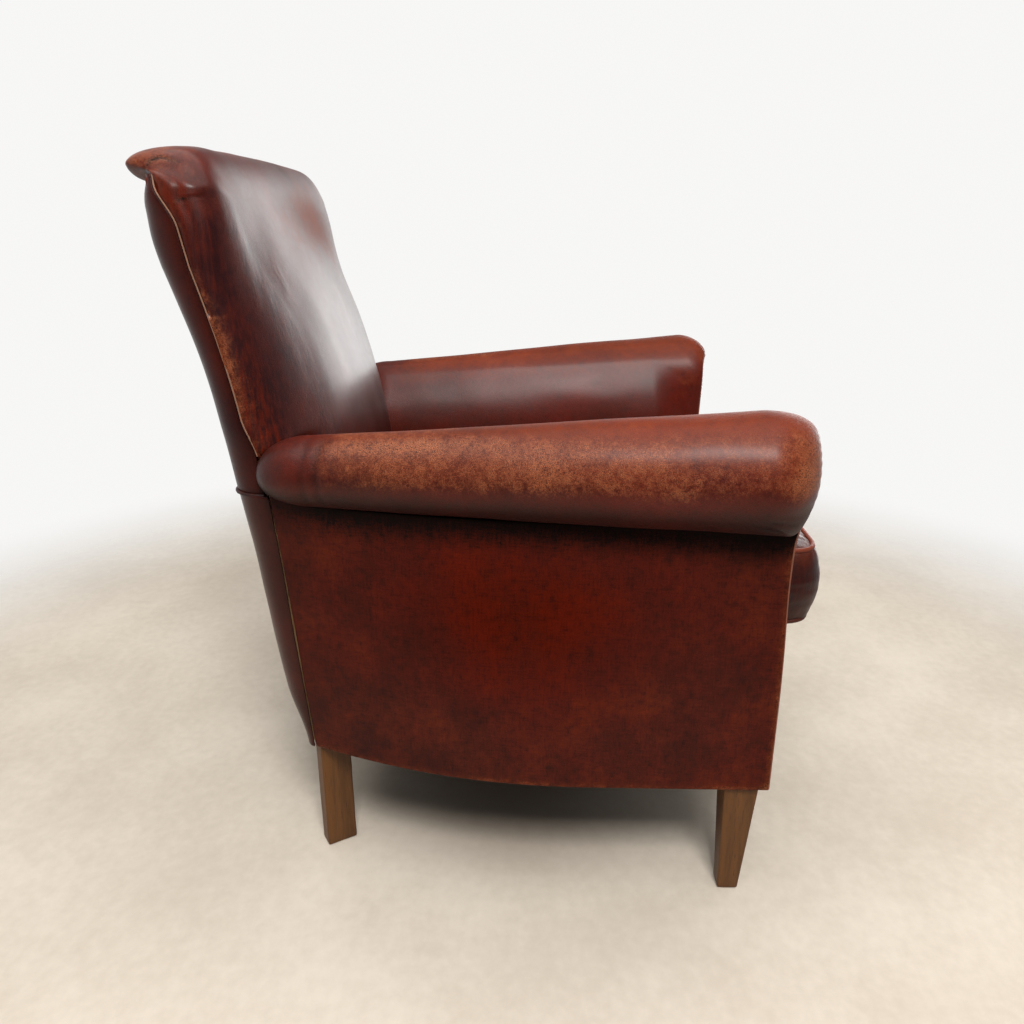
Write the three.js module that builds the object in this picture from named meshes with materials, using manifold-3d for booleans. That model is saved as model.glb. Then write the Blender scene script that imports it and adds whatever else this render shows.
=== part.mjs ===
// A worn leather club chair: rolled arms, a raked back with a rolled crest and a loose seat cushion.
// Millimetres, +Z up, front towards -Y. The origin is on the floor under the middle of the chair.
// "left" and "right" are the sitter's: left is +X.
import * as THREE from "three";
import { mergeVertices } from "three/addons/utils/BufferGeometryUtils.js";
import Module from "manifold-3d";

const wasm = await Module();
wasm.setup();

// Overall sizes
const overallWidth = 750;
const overallDepth = 785;
const overallHeight = 885;
const clearance = 0.3; // between pieces that meet
const leather = 2; // thickness of the hide with its backing

// Legs
const legHeight = 160; // floor to the lower edge of the leather
const glideThickness = 3;
const frontLegTop = 42; // square section, tapered on all four sides
const frontLegFoot = 25;
const frontLegSet = 4; // leg inside the leather at its top
const backLegWidth = 40; // plain section, turned to face the tub's corner
const backLegThickness = 24;
const backLegSet = 1.5; // leg inside the leather at its top
const backLegTurn = THREE.MathUtils.degToRad(32);
const boltRadius = 4;
const boltLength = 70;
const boltHoleClearance = 0.3;

// Frame of beech boards
const hem = 5; // leather below the rails
const railHeight = 125;
const railThickness = 25;
const railEndSet = 10; // padding that the side rail gains towards the back
const stumpWidth = 52; // front post under the arm roll
const stumpDepth = 45;
const scrollPadding = 11; // between the stump's round head and the roll's leather
const postWidth = 28; // back posts
const postDepth = 42;
const postSet = 18; // padding behind the back posts
const postCornerGap = 3; // post to the leather of the rounded corner
const tackRailHeight = 32;
const tackRailThickness = 22;
const tackRailGap = 1.5; // to the outside arm
const crestRailHeight = 50;
const armBoardThickness = 24;
const armBoardFrontWidth = 70;
const armBoardRearWidth = 28;
const blockHeight = 40;
const blockLeg = 76; // glue block's length along each rail

// Arms
const armHeight = 621; // top of the roll at the front
const rollFront = 63; // radius of the arm roll
const rollRear = 33;
const armSplay = 50; // how much closer together the rolls lie at the back
const armFall = 10; // how much the roll's axis drops towards the back
const armWall = 50; // thickness of the padded inside arm
const armEndGap = 10; // roll's rear end to the back post

// Outside of the tub
const panelSet = 4; // outside arm panel beyond the roll's axis, at the front
const tubInset = 76; // how far the tub curves in at its back corner
const tubStraight = 220; // straight part of the side, from the front
const tubFlare = 0.53; // share of the inset that is left under the arm
const seamSetBottom = 25; // side seam in front of the outside back
const seamSetTop = 47;
const cornerBottom = 40; // half width of the rounded back corner
const cornerTop = 44;

// Back
const lowerRake = 0.117; // rearward slope of the outside back, below and above the arms
const upperRake = 0.209;
const crestDrop = 39; // crest's top to the lip of its roll
const crestReach = 10; // crest's roll behind the outside back
const backThickness = 96; // at the crest
const insideRake = 0.262;
const weltSet = 36; // side welt in front of the outside back
const weltRadius = 2.5;
const backCorner = 34; // rounded corner of the outside back
const backShoulder = 4; // top of the arm roll to the wide part of the back
const crestCorner = 48; // rounded top corners, seen from the front
const crestNarrowing = 12;
const backGap = 17; // lower back to the inside arm

// Seat
const springCount = 5;
const springWire = 3.8;
const springWaves = 8;
const springWaveHalf = 20;
const springArch = 18;
const springMargin = 10; // outer springs to the back posts
const deckThickness = 8;
const cushionOverhang = 72; // cushion in front of the arm fronts
const borderProud = 12; // front border in front of the arm fronts
const cushionBoxing = 100; // height of the cushion's side band
const cushionCrown = 26;
const cushionBulge = 16;
const cushionGap = 7; // cushion to the inside arm
const cushionCorner = 40;
const pipingRadius = 3.5;
const zipLength = 300;
const zipHeight = 10;

// Back suspension and underside
const webbingWidth = 50;
const webbingThickness = 2;
const strapRoom = webbingThickness + 2 * clearance;
const webbingCount = 3;
const dustCoverThickness = 1;

// Places worked out from those sizes
const frontY = -overallDepth / 2;
const crestY = overallDepth / 2;
const facingY = frontY + cushionOverhang;
const railBottom = legHeight + hem;
const railTop = railBottom + railHeight;
const stumpFrontY = facingY + leather + clearance;
const stumpRearY = stumpFrontY + stumpDepth;
const rollFrontAxis = new THREE.Vector2(overallWidth / 2 - rollFront, armHeight - rollFront);
const rollRearAxis = new THREE.Vector2(rollFrontAxis.x - armSplay, rollFrontAxis.y - armFall);
const lipZ = overallHeight - crestDrop;
const bendZ = rollRearAxis.y - rollRear - 5;
const bendY = crestY - crestReach - (lipZ - bendZ) * upperRake;
const panelX = rollFrontAxis.x + panelSet;
const backHalf = rollRearAxis.x + 3;
const backHalfLow = rollRearAxis.x - rollRear - backGap;
const shoulderZ = rollRearAxis.y + rollRear + backShoulder;
const armBottom = railTop + 2;
const deckBottom = railTop + springWire + springArch + 2 * clearance;
const deckTop = deckBottom + deckThickness;
const cushionBottom = deckTop + leather + 2 * clearance;

const lerp = THREE.MathUtils.lerp;
const clamp = THREE.MathUtils.clamp;

// Outside back's surface on the middle line, at height z.
function outsideBackY(z) {
  return z < bendZ ? bendY - (bendZ - z) * lowerRake : bendY + (z - bendZ) * upperRake;
}

// Front and rear faces of the back posts.
function postRearY(z) {
  return outsideBackY(z) - postSet;
}
function postFrontY(z) {
  return postRearY(z) - postDepth;
}

// Front face of the inside back, and the line of its side welts.
function insideBackY(z) {
  return crestY - backThickness - (lipZ - z) * insideRake;
}
function weltY(z) {
  return outsideBackY(z) - weltSet;
}

const armRearY = postFrontY(rollRearAxis.y) - armEndGap;

// Arm roll's axis and radius at depth y.
function rollAt(y) {
  const t = (y - facingY) / (armRearY - facingY);
  const bow = t * t * 0.35 + t * 0.65; // the tub's curve, gentle at first
  return {
    x: lerp(rollFrontAxis.x, rollRearAxis.x, bow),
    z: lerp(rollFrontAxis.y, rollRearAxis.y, t),
    radius: lerp(rollFront, rollRear, t),
  };
}

// Inner face of the arm at depth y.
function armInnerX(y) {
  const roll = rollAt(y);
  return roll.x - roll.radius;
}

// Side seam between the outside arm and the outside back.
function seamY(z) {
  const t = clamp((z - legHeight) / (bendZ - legHeight), 0, 1);
  return outsideBackY(z) - lerp(seamSetBottom, seamSetTop, t);
}

// Outer surface of the outside arm at depth y and height z.
function sideX(y, z) {
  const t = clamp((z - legHeight) / (bendZ - legHeight), 0, 1);
  const start = facingY + tubStraight;
  const along = Math.max(0, (y - start) / (seamY(legHeight) - start));
  return panelX - tubInset * along * along * lerp(1, tubFlare, t);
}

// The rounded back corners: their half widths across and along the chair.
function lowerCorner(z) {
  const t = clamp((z - legHeight) / (bendZ - legHeight), 0, 1);
  return { across: lerp(cornerBottom, cornerTop, t), along: lerp(seamSetBottom, seamSetTop, t) - clearance };
}
const upperCorner = { across: backCorner, along: weltSet - weltRadius - clearance };

// How far out a post's rear face can reach inside a rounded corner.
function cornerRoomX(half, { across, along }) {
  const height = clamp((along - postSet) / (along - leather), 0, 1);
  return half - across + (across - leather) * Math.sqrt(1 - height ** 2) - postCornerGap;
}

// Back posts lean outwards to the arms and then run up to the crest.
const postFootX = cornerRoomX(sideX(seamY(railBottom), railBottom), lowerCorner(railBottom)) - postWidth / 2;
const postBendX =
  Math.min(
    cornerRoomX(sideX(seamY(bendZ), bendZ), lowerCorner(bendZ)),
    cornerRoomX(backHalf, upperCorner),
    backHalf - leather - 2 * weltRadius,
  ) -
  postWidth / 2;
const postTopX = postBendX - crestNarrowing;
const postTopZ = lipZ - 12;

function postX(z) {
  if (z < bendZ) return lerp(postFootX, postBendX, Math.max(0, (z - railBottom) / (bendZ - railBottom)));
  return lerp(postBendX, postTopX, clamp((z - bendZ) / (postTopZ - bendZ), 0, 1));
}

// Materials
function paint(color, roughness, metalness = 0) {
  return new THREE.MeshStandardMaterial({ color, roughness, metalness });
}
const hide = paint(0x5a2416, 0.38);
const stainedWood = paint(0x5b3c1e, 0.5);
const beech = paint(0xc49a6c, 0.7);
const steel = paint(0x8d8f92, 0.35, 1);
const foam = paint(0xd9cfae, 0.95);
const wadding = paint(0xcfc8b8, 1);
const jute = paint(0x9c7b4d, 0.95);
const blackCloth = paint(0x1c1b1a, 0.95);
const felt = paint(0x6b6257, 1);

// Geometry helpers
const chair = new THREE.Group();

// Moves every vertex of a geometry to the place that the function gives it.
function shaped(geometry, place) {
  const position = geometry.getAttribute("position");
  for (let i = 0; i < position.count; i++) {
    position.setXYZ(i, ...place(position.getX(i), position.getY(i), position.getZ(i)));
  }
  return geometry;
}

// Extrusions of an outline drawn in the (x, y), (x, z) or (y, z) plane.
function extrudeZ(shape, low, high, options = {}) {
  const settings = { depth: high - low, bevelEnabled: false, curveSegments: 8, ...options };
  return new THREE.ExtrudeGeometry(shape, settings).translate(0, 0, low);
}
function extrudeY(shape, front, rear, options = {}) {
  return extrudeZ(shape, 0, rear - front, options).rotateX(Math.PI / 2).translate(0, rear, 0);
}
function extrudeX(shape, from, to, options = {}) {
  const turn = new THREE.Matrix4().makeBasis(
    new THREE.Vector3(0, 1, 0),
    new THREE.Vector3(0, 0, 1),
    new THREE.Vector3(1, 0, 0),
  );
  return extrudeZ(shape, from, to, options).applyMatrix4(turn);
}

function outline(points) {
  return new THREE.Shape(points.map(([a, b]) => new THREE.Vector2(a, b)));
}

function boxFromTo(low, high) {
  const size = high.map((value, i) => value - low[i]);
  const middle = high.map((value, i) => (value + low[i]) / 2);
  return new THREE.BoxGeometry(...size).translate(...middle);
}

// A closed geometry as a solid, and back again.
function solid(geometry) {
  const bare = new THREE.BufferGeometry();
  bare.setAttribute("position", geometry.getAttribute("position"));
  if (geometry.index) bare.setIndex(geometry.index);
  const merged = mergeVertices(bare, 1e-3);
  return new wasm.Manifold(
    new wasm.Mesh({
      numProp: 3,
      vertProperties: new Float32Array(merged.getAttribute("position").array),
      triVerts: new Uint32Array(merged.index.array),
    }),
  );
}
function geometryOf(made) {
  const mesh = made.getMesh();
  const geometry = new THREE.BufferGeometry();
  const points = new THREE.BufferAttribute(new Float32Array(mesh.vertProperties), 3);
  geometry.setAttribute("position", points);
  geometry.setIndex(new THREE.BufferAttribute(new Uint32Array(mesh.triVerts), 1));
  geometry.computeVertexNormals();
  return geometry;
}
function cut(geometry, ...tools) {
  return geometryOf(tools.reduce((left, tool) => left.subtract(solid(tool)), solid(geometry)));
}
function common(a, b) {
  return geometryOf(solid(a).intersect(solid(b)));
}

function add(name, geometry, material, parent = chair) {
  const mesh = new THREE.Mesh(geometry, material);
  mesh.name = name;
  parent.add(mesh);
  return mesh;
}

function rod(radius, low, high, x, y, sides = 12) {
  return new THREE.CylinderGeometry(radius, radius, high - low, sides)
    .rotateX(Math.PI / 2)
    .translate(x, y, (low + high) / 2);
}

// A flat-ended bar that follows place(u, v, w): u and w across it, v along it from 0 to 1.
function bar(steps, place) {
  const geometry = new THREE.BoxGeometry(1, 1, 1, 1, steps, 1);
  return shaped(geometry, (u, v, w) => place(u, v + 0.5, w));
}

// A sheet of the hide: place(u, v, d), u and v from 0 to 1 over it, d the depth from its outer face.
function sheet(columns, rows, place) {
  const geometry = new THREE.BoxGeometry(1, 1, 1, columns, rows, 1);
  return shaped(geometry, (u, v, w) => place(u + 0.5, v + 0.5, (0.5 - w) * leather));
}

// Frame. Each function can grow its board by a clearance, to cut the boards and pads that meet it.

const stumpInnerX = Math.max(
  panelX - leather - clearance - stumpWidth,
  rollFrontAxis.x - 0.95 * (rollFront - scrollPadding),
);
function stumpOutline(grow) {
  const outer = panelX - leather - clearance + grow;
  const inner = stumpInnerX - grow;
  const head = rollFront - scrollPadding + grow;
  const { x, y: z } = rollFrontAxis;
  const shape = new THREE.Shape();
  shape.moveTo(inner, railBottom - grow);
  shape.lineTo(outer, railBottom - grow);
  shape.lineTo(outer, z - Math.sqrt(head ** 2 - (outer - x) ** 2));
  const start = Math.atan2(-Math.sqrt(head ** 2 - (outer - x) ** 2), outer - x);
  const end = Math.PI + Math.asin(Math.sqrt(head ** 2 - (x - inner) ** 2) / head);
  shape.absarc(x, z, head, start, end, false);
  return shape;
}
function stump(grow = 0) {
  return extrudeY(stumpOutline(grow), stumpFrontY - grow, stumpRearY + grow, { curveSegments: 12 });
}

function backPost(grow = 0) {
  const low = railBottom - grow;
  const high = postTopZ + grow;
  const bend = (bendZ - low) / (high - low);
  const heights = [0, bend / 2, bend, (1 + bend) / 2, 1];
  return bar(heights.length - 1, (u, v, w) => {
    const z = lerp(low, high, heights[Math.round(v * (heights.length - 1))]);
    const x = postX(z) + u * (postWidth + 2 * grow);
    const y = (postFrontY(z) + postRearY(z)) / 2 - w * (postDepth + 2 * grow);
    return [x, y, z];
  });
}

// Side rail, curved in plan to the tub and cut off along the back post.
function sideRail(grow = 0) {
  return bar(8, (u, v, w) => {
    const z = w > 0 ? railTop + grow : railBottom - grow;
    const y = lerp(stumpRearY + clearance - grow, postFrontY(z) - clearance + grow, v);
    const outer = sideX(y, legHeight) - leather - clearance - railEndSet * v * v;
    return [outer - railThickness / 2 + u * (railThickness + 2 * grow), y, z];
  });
}

const frontRailY = stumpFrontY + 2;
const backRailY = postFrontY((railBottom + railTop) / 2) + postDepth / 2 - railThickness / 2;

function frontRail(grow = 0) {
  const half = stumpInnerX - clearance;
  return boxFromTo(
    [-half, frontRailY - grow, railBottom - grow],
    [half, frontRailY + railThickness + grow, railTop + grow],
  );
}
function backRail(grow = 0) {
  const half = postX(railTop) - postWidth / 2 + 1;
  return boxFromTo(
    [-half, backRailY - grow, railBottom - grow],
    [half, backRailY + railThickness + grow, railTop + grow],
  );
}

function mirrored(geometry) {
  const copy = geometry.clone().scale(-1, 1, 1);
  const index = copy.index.array;
  for (let i = 0; i < index.length; i += 3) {
    [index[i + 1], index[i + 2]] = [index[i + 2], index[i + 1]];
  }
  return copy;
}
const bothPosts = [backPost(clearance), mirrored(backPost(clearance))];

// A board across the back, between the posts, that leans with them.
function acrossBack(low, high, thickness, grow = 0) {
  const half = postX(low);
  return bar(1, (u, v, w) => {
    const z = lerp(low - grow, high + grow, v);
    const middle = (postFrontY(z) + postRearY(z)) / 2;
    return [u * 2 * half, middle - w * (thickness + 2 * grow), z];
  });
}
const backTackLow = railTop + 40;
const crestRailLow = postTopZ - crestRailHeight;
const crestRail = (grow = 0) => acrossBack(crestRailLow, postTopZ, railThickness, grow);

// A board along the arm, from the stump to the front of the back post, between four faces.
function alongArm({ low, high, inner, outer }, grow) {
  return bar(6, (u, v, w) => {
    const end = w > 0 ? high(armRearY) : low(armRearY);
    const y = lerp(stumpRearY + clearance - grow, postFrontY(end) - clearance + grow, v);
    const x = u > 0 ? outer(y) + grow : inner(y) - grow;
    const z = w > 0 ? high(y) + grow : low(y) - grow;
    return [x, y, z];
  });
}
function armBoard(grow = 0) {
  const half = (y) => lerp(armBoardFrontWidth, armBoardRearWidth, (y - facingY) / (armRearY - facingY)) / 2;
  const faces = {
    low: (y) => rollAt(y).z - armBoardThickness / 2,
    high: (y) => rollAt(y).z + armBoardThickness / 2,
    inner: (y) => rollAt(y).x - half(y),
    outer: (y) => rollAt(y).x + half(y),
  };
  return alongArm(faces, grow);
}
const armTackLow = railTop + 40;
function armTackRail(grow = 0) {
  const cover = (y) => armInnerX(y) + leather;
  const room = (y) => sideX(y, armTackLow) - leather - tackRailGap;
  const outer = (y) => Math.min(cover(y) + 4 + tackRailThickness, room(y));
  const faces = {
    low: () => armTackLow,
    high: () => armTackLow + tackRailHeight,
    inner: (y) => Math.max(outer(y) - tackRailThickness, cover(y) + 2 * clearance),
    outer,
  };
  return alongArm(faces, grow);
}

function glueBlock(corner, signs) {
  const [x, y] = corner;
  const [sx, sy] = signs;
  const shape = outline([[x, y], [x + sx * blockLeg, y], [x, y + sy * blockLeg]]);
  const low = railBottom + (railHeight - blockHeight) / 2;
  const boards = [sideRail, stump, backPost, frontRail, backRail];
  return cut(extrudeZ(shape, low, low + blockHeight), ...boards.map((board) => board(clearance)));
}

// Legs stand under the stump and the back post, each held by one bolt.
const frontLegX = panelX - leather - frontLegSet - frontLegTop / 2;
const frontLegY = (stumpFrontY + stumpRearY) / 2 + 6;
const backLegY = (postFrontY(railBottom) + postRearY(railBottom)) / 2 - 4;
const backLegOut = (backLegWidth * Math.sin(backLegTurn) + backLegThickness * Math.cos(backLegTurn)) / 2;
const backLegBack = (backLegWidth * Math.cos(backLegTurn) - backLegThickness * Math.sin(backLegTurn)) / 2;
const backLegRoom = sideX(backLegY + backLegBack, legHeight) - leather - backLegSet - backLegOut;
const backLegX = Math.min(postX(railBottom) + 2, backLegRoom);
const legTop = railBottom - clearance;

function legBolt(x, y, grow = 0) {
  const low = railBottom - boltLength / 2;
  return rod(boltRadius + grow, low - grow, low + boltLength + grow, x, y);
}

function frontLeg() {
  const leg = bar(1, (u, v, w) => {
    const width = lerp(frontLegFoot, frontLegTop, v);
    return [frontLegX + u * width, frontLegY - w * width, lerp(glideThickness + clearance, legTop, v)];
  });
  return cut(leg, legBolt(frontLegX, frontLegY, boltHoleClearance));
}
function backLeg() {
  const leg = new THREE.BoxGeometry(backLegThickness, backLegWidth, legTop - glideThickness - clearance)
    .rotateZ(-backLegTurn)
    .translate(backLegX, backLegY, (legTop + glideThickness + clearance) / 2);
  return cut(leg, legBolt(backLegX, backLegY, boltHoleClearance));
}

// Padded forms

// Section of the arm: the roll with the inside arm hanging from its inner side.
function armForm({ inset = 0, wall = armWall, ends = 0, drop = 0 }) {
  const radius = rollFront - inset;
  const wallX = -rollFront + wall;
  const base = armBottom - drop - rollFrontAxis.y;
  const shape = new THREE.Shape();
  shape.moveTo(-radius, base);
  shape.lineTo(-radius, 0);
  const end = Math.atan2(-Math.sqrt(radius ** 2 - wallX ** 2), wallX);
  shape.absarc(0, 0, radius, Math.PI, end, true);
  shape.lineTo(wallX, base);
  const front = facingY + leather + clearance;
  const stations = [0, 0.2, 0.4, 0.6, 0.8, 1].map((t) => lerp(front, armRearY, t));
  if (ends > 0) {
    stations.unshift(front - ends);
    stations.push(armRearY + ends);
  }
  const steps = stations.length - 1;
  const geometry = extrudeY(shape, 0, steps, { curveSegments: 16, steps });
  return shaped(geometry, (x, station, z) => {
    const y = stations[Math.round(station)];
    const roll = rollAt(y);
    const scale = (roll.radius - inset) / (rollFront - inset);
    const set = ends < 0 ? clamp(y, front - ends, armRearY + ends) : y;
    return [roll.x + x * scale, set, z < -rollFront ? armBottom - drop : roll.z + z * scale];
  });
}

// The space behind the inside arm that the back posts and webbing need.
function backZone() {
  const low = armBottom - 20;
  const high = rollRearAxis.y;
  const set = webbingThickness + 4;
  const profile = outline([
    [postFrontY(low) - set, low],
    [crestY, low],
    [crestY, high],
    [postFrontY(high) - set, high],
  ]);
  return extrudeX(profile, 0, overallWidth);
}

function armCover() {
  const inner = armForm({ inset: leather, wall: armWall + 3 * leather, ends: 10, drop: 10 });
  return cut(armForm({}), inner, backZone(), stump(clearance));
}
function armPad() {
  const pad = armForm({ inset: leather + clearance, wall: armWall - clearance, ends: -clearance });
  const boards = [stump(clearance), armBoard(clearance), armTackRail(clearance), backPost(clearance)];
  return cut(pad, backZone(), beyondOutsideArm(), ...boards);
}

// Back: a side profile with a rolled crest, narrow between the arms and rounded at the top corners.
const backFormBottom = deckTop - 12;

function backProfile(inset) {
  const front = (z) => insideBackY(z) + inset;
  const top = overallHeight - inset;
  const shape = new THREE.Shape();
  shape.moveTo(weltY(backFormBottom), backFormBottom);
  shape.lineTo(front(backFormBottom), backFormBottom);
  shape.lineTo(front(lipZ - 12), lipZ - 12);
  shape.quadraticCurveTo(front(lipZ) + 2, top - 4, crestY - backThickness / 2, top);
  shape.quadraticCurveTo(crestY - inset - 6, top - 1, crestY - inset, lipZ + 14);
  shape.quadraticCurveTo(crestY - inset - 2, lipZ + inset, crestY - crestReach - 8, lipZ + inset);
  shape.lineTo(weltY(lipZ), lipZ + inset);
  return shape;
}
function backOutline(inset) {
  const half = backHalf - inset;
  const low = backHalfLow - inset;
  const topHalf = half - crestNarrowing;
  const arch = overallHeight - inset;
  const shape = new THREE.Shape();
  shape.moveTo(-low, backFormBottom - 20);
  shape.lineTo(low, backFormBottom - 20);
  shape.lineTo(low, shoulderZ + inset);
  shape.lineTo(half, shoulderZ + inset);
  shape.lineTo(topHalf, arch - crestCorner);
  shape.quadraticCurveTo(topHalf - 2, arch - 6, topHalf - crestCorner, arch);
  shape.lineTo(-topHalf + crestCorner, arch);
  shape.quadraticCurveTo(-topHalf + 2, arch - 6, -topHalf, arch - crestCorner);
  shape.lineTo(-half, shoulderZ + inset);
  shape.lineTo(-low, shoulderZ + inset);
  return shape;
}
function backForm(inset) {
  const sides = extrudeX(backProfile(inset), -overallWidth / 2, overallWidth / 2, { curveSegments: 5 });
  const faces = extrudeY(backOutline(inset), -overallDepth, overallDepth, { curveSegments: 5 });
  return common(sides, faces);
}

// The hollow between the back posts, behind the webbing.
function backHollow(frontSet) {
  const front = (z) => postFrontY(z) - frontSet;
  const low = backFormBottom - 40;
  const profile = outline([
    [front(low), low],
    [crestY * 2, low],
    [crestY * 2, crestRailLow - 20],
    [front(crestRailLow - 20), crestRailLow - 20],
    [front(bendZ), bendZ],
  ]);
  const half = postBendX - postWidth / 2 + 4;
  return extrudeX(profile, -half, half);
}
function belowLip(set) {
  const profile = outline([
    [weltY(backFormBottom - 40) - set, backFormBottom - 40],
    [crestY * 2, backFormBottom - 40],
    [crestY * 2, lipZ - 1],
    [weltY(lipZ - 1) - set, lipZ - 1],
    [weltY(bendZ) - set, bendZ],
  ]);
  return extrudeX(profile, -overallWidth, overallWidth);
}
// A back post with the ends of the straps in front of it.
function strappedPost() {
  return shaped(backPost(clearance), (x, y, z) => {
    const front = y < (postFrontY(z) + postRearY(z)) / 2;
    return [x, front ? y - strapRoom : y, z];
  });
}
const behindBack = () => [
  backHollow(strapRoom),
  belowLip(weltRadius + clearance),
  strappedPost(),
  mirrored(strappedPost()),
];
function insideBackCover() {
  return cut(backForm(0), backForm(leather), ...behindBack());
}
function backPad() {
  return cut(backForm(leather + clearance), ...behindBack(), crestRail(clearance));
}

// Outside back panels run round both back corners: s from -1 to 1 across the chair.
function aroundBack(s, half, { across, along: set }, depth) {
  const flat = 0.72; // share of the way that is the flat of the back
  const side = Math.sign(s) || 1;
  const along = Math.abs(s);
  if (along <= flat) return [side * (along / flat) * (half - across), -depth];
  const angle = ((along - flat) / (1 - flat)) * (Math.PI / 2);
  const x = half - across + (across - depth) * Math.sin(angle);
  return [side * x, -set + (set - depth) * Math.cos(angle)];
}
function outsideBackUpper() {
  return sheet(22, 3, (u, v, depth) => {
    const z = lerp(bendZ + clearance, lipZ - 1 - clearance, v);
    const narrow = crestNarrowing * clamp((z - shoulderZ) / (overallHeight - shoulderZ), 0, 1);
    const [x, y] = aroundBack(1 - 2 * u, backHalf - narrow, upperCorner, depth);
    return [x, outsideBackY(z) + y, z];
  });
}
function outsideBackLower() {
  return sheet(22, 4, (u, v, depth) => {
    const z = lerp(legHeight, bendZ, v);
    const [x, y] = aroundBack(1 - 2 * u, sideX(seamY(z), z), lowerCorner(z), depth);
    return [x, outsideBackY(z) + y, z];
  });
}

// Places on the outside arm's outer face: u along it from the front, v up it.
function onOutsideArm(u, v) {
  const topAt = (y) => rollAt(y).z - rollAt(y).radius - clearance - 1;
  let y = facingY;
  let z = legHeight;
  for (let pass = 0; pass < 6; pass++) {
    z = lerp(legHeight, topAt(y), v);
    y = lerp(facingY + leather + clearance, seamY(z) - 2 * clearance, u);
  }
  return [sideX(y, z), y, z];
}
function outsideArm() {
  return sheet(9, 4, (u, v, depth) => {
    const [x, y, z] = onOutsideArm(u, v);
    return [x - depth, y, z];
  });
}
function beyondOutsideArm() {
  return sheet(9, 4, (u, v, depth) => {
    const [x, y, z] = onOutsideArm(u, v);
    return [depth > 0 ? x - leather - clearance : x + armWall, y, z];
  });
}

function armFront() {
  const { x, y: z } = rollFrontAxis;
  const inner = x - rollFront;
  const shape = new THREE.Shape();
  shape.moveTo(inner, legHeight);
  shape.lineTo(panelX, legHeight);
  const drop = Math.sqrt(rollFront ** 2 - panelSet ** 2);
  shape.lineTo(panelX, z - drop);
  shape.absarc(x, z, rollFront, Math.atan2(-drop, panelSet), Math.PI, false);
  return extrudeY(shape, facingY, facingY + leather, { curveSegments: 20 });
}

const borderFlap = 26; // leather turned back over the front edge
const borderY = facingY - borderProud;
const borderHalf = armInnerX(borderY + borderFlap) - 2 * clearance;

function frontBorder() {
  const profile = outline([
    [borderY, legHeight],
    [borderY + leather, legHeight],
    [borderY + leather, deckTop - clearance],
    [borderY + borderFlap, deckTop - clearance],
    [borderY + borderFlap, deckTop + leather - clearance],
    [borderY, deckTop + leather - clearance],
  ]);
  return extrudeX(profile, -borderHalf, borderHalf);
}
function frontEdgePad() {
  return boxFromTo(
    [-borderHalf + 1, borderY + leather + clearance, railBottom],
    [borderHalf - 1, frontRailY - clearance, deckTop - 2 * clearance],
  );
}

// Seat

class SpringPath extends THREE.Curve {
  constructor(x) {
    super();
    this.x = x;
  }
  getPoint(t) {
    const ends = 10; // wire resting on each rail
    const front = frontRailY + railThickness - ends;
    const rear = backRailY + ends;
    const turn = 2 * Math.PI * springWaves * t;
    return new THREE.Vector3(
      this.x + springWaveHalf * Math.sin(turn),
      lerp(front, rear, t) + 3 * Math.sin(2 * turn),
      railTop + clearance + springWire / 2 + springArch * Math.sin(Math.PI * t),
    );
  }
}
function seatSpring(x) {
  const wire = new THREE.Shape();
  wire.absarc(0, 0, springWire / 2, 0, 2 * Math.PI, false);
  return new THREE.ExtrudeGeometry(wire, {
    extrudePath: new SpringPath(x),
    steps: springWaves * 6,
    curveSegments: 3,
    bevelEnabled: false,
  });
}

const deckFrontY = frontRailY + clearance;
const deckRearY = insideBackY(backFormBottom) - 2;

function seatDeck() {
  const half = (y) => armInnerX(y) - leather - 2;
  const points = [deckFrontY, (deckFrontY + deckRearY) / 2, deckRearY];
  const left = points.map((y) => [half(y), y]);
  const right = points.map((y) => [-half(y), y]).reverse();
  return extrudeZ(outline([...left, ...right]), deckBottom, deckTop - 2 * clearance);
}

// Loose cushion: boxed sides that bulge, a crowned top and rounded corners.
const cushionTop = cushionBottom + cushionBoxing;
const cushionFrontY = frontY + cushionBulge;
const cushionRearY = insideBackY(cushionBottom) - 2 * pipingRadius - 4;

// A point of the cushion's edge, seen from above, for a direction round it.
function cushionEdge(u, v, grow) {
  const y = lerp(cushionFrontY, cushionRearY, v + 0.5);
  const half = armInnerX(y) - cushionGap - cushionBulge * 0.4 + grow;
  const halfLength = (cushionRearY - cushionFrontY) / 2 + grow;
  const middle = (cushionFrontY + cushionRearY) / 2;
  const round = cushionCorner + grow;
  let x = 2 * u * half;
  let along = 2 * v * halfLength;
  const overX = Math.abs(x) - (half - round);
  const overY = Math.abs(along) - (halfLength - round);
  if (overX > 0 && overY > 0) {
    const most = Math.max(overX, overY);
    const scale = most / Math.hypot(overX, overY);
    x = Math.sign(x) * (half - round + overX * scale);
    along = Math.sign(along) * (halfLength - round + overY * scale);
  }
  return [x, middle + along];
}
// Rows of the boxing: a plain band beside each piping, and the bulge between them.
const pipingBand = (2 * pipingRadius + 1) / cushionBoxing;
const boxingRows = [0, pipingBand, 0.3, 0.5, 0.7, 1 - pipingBand, 1];
const crowd = (u) => Math.sin(Math.PI * u) / 2; // more columns towards the corners

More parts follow.
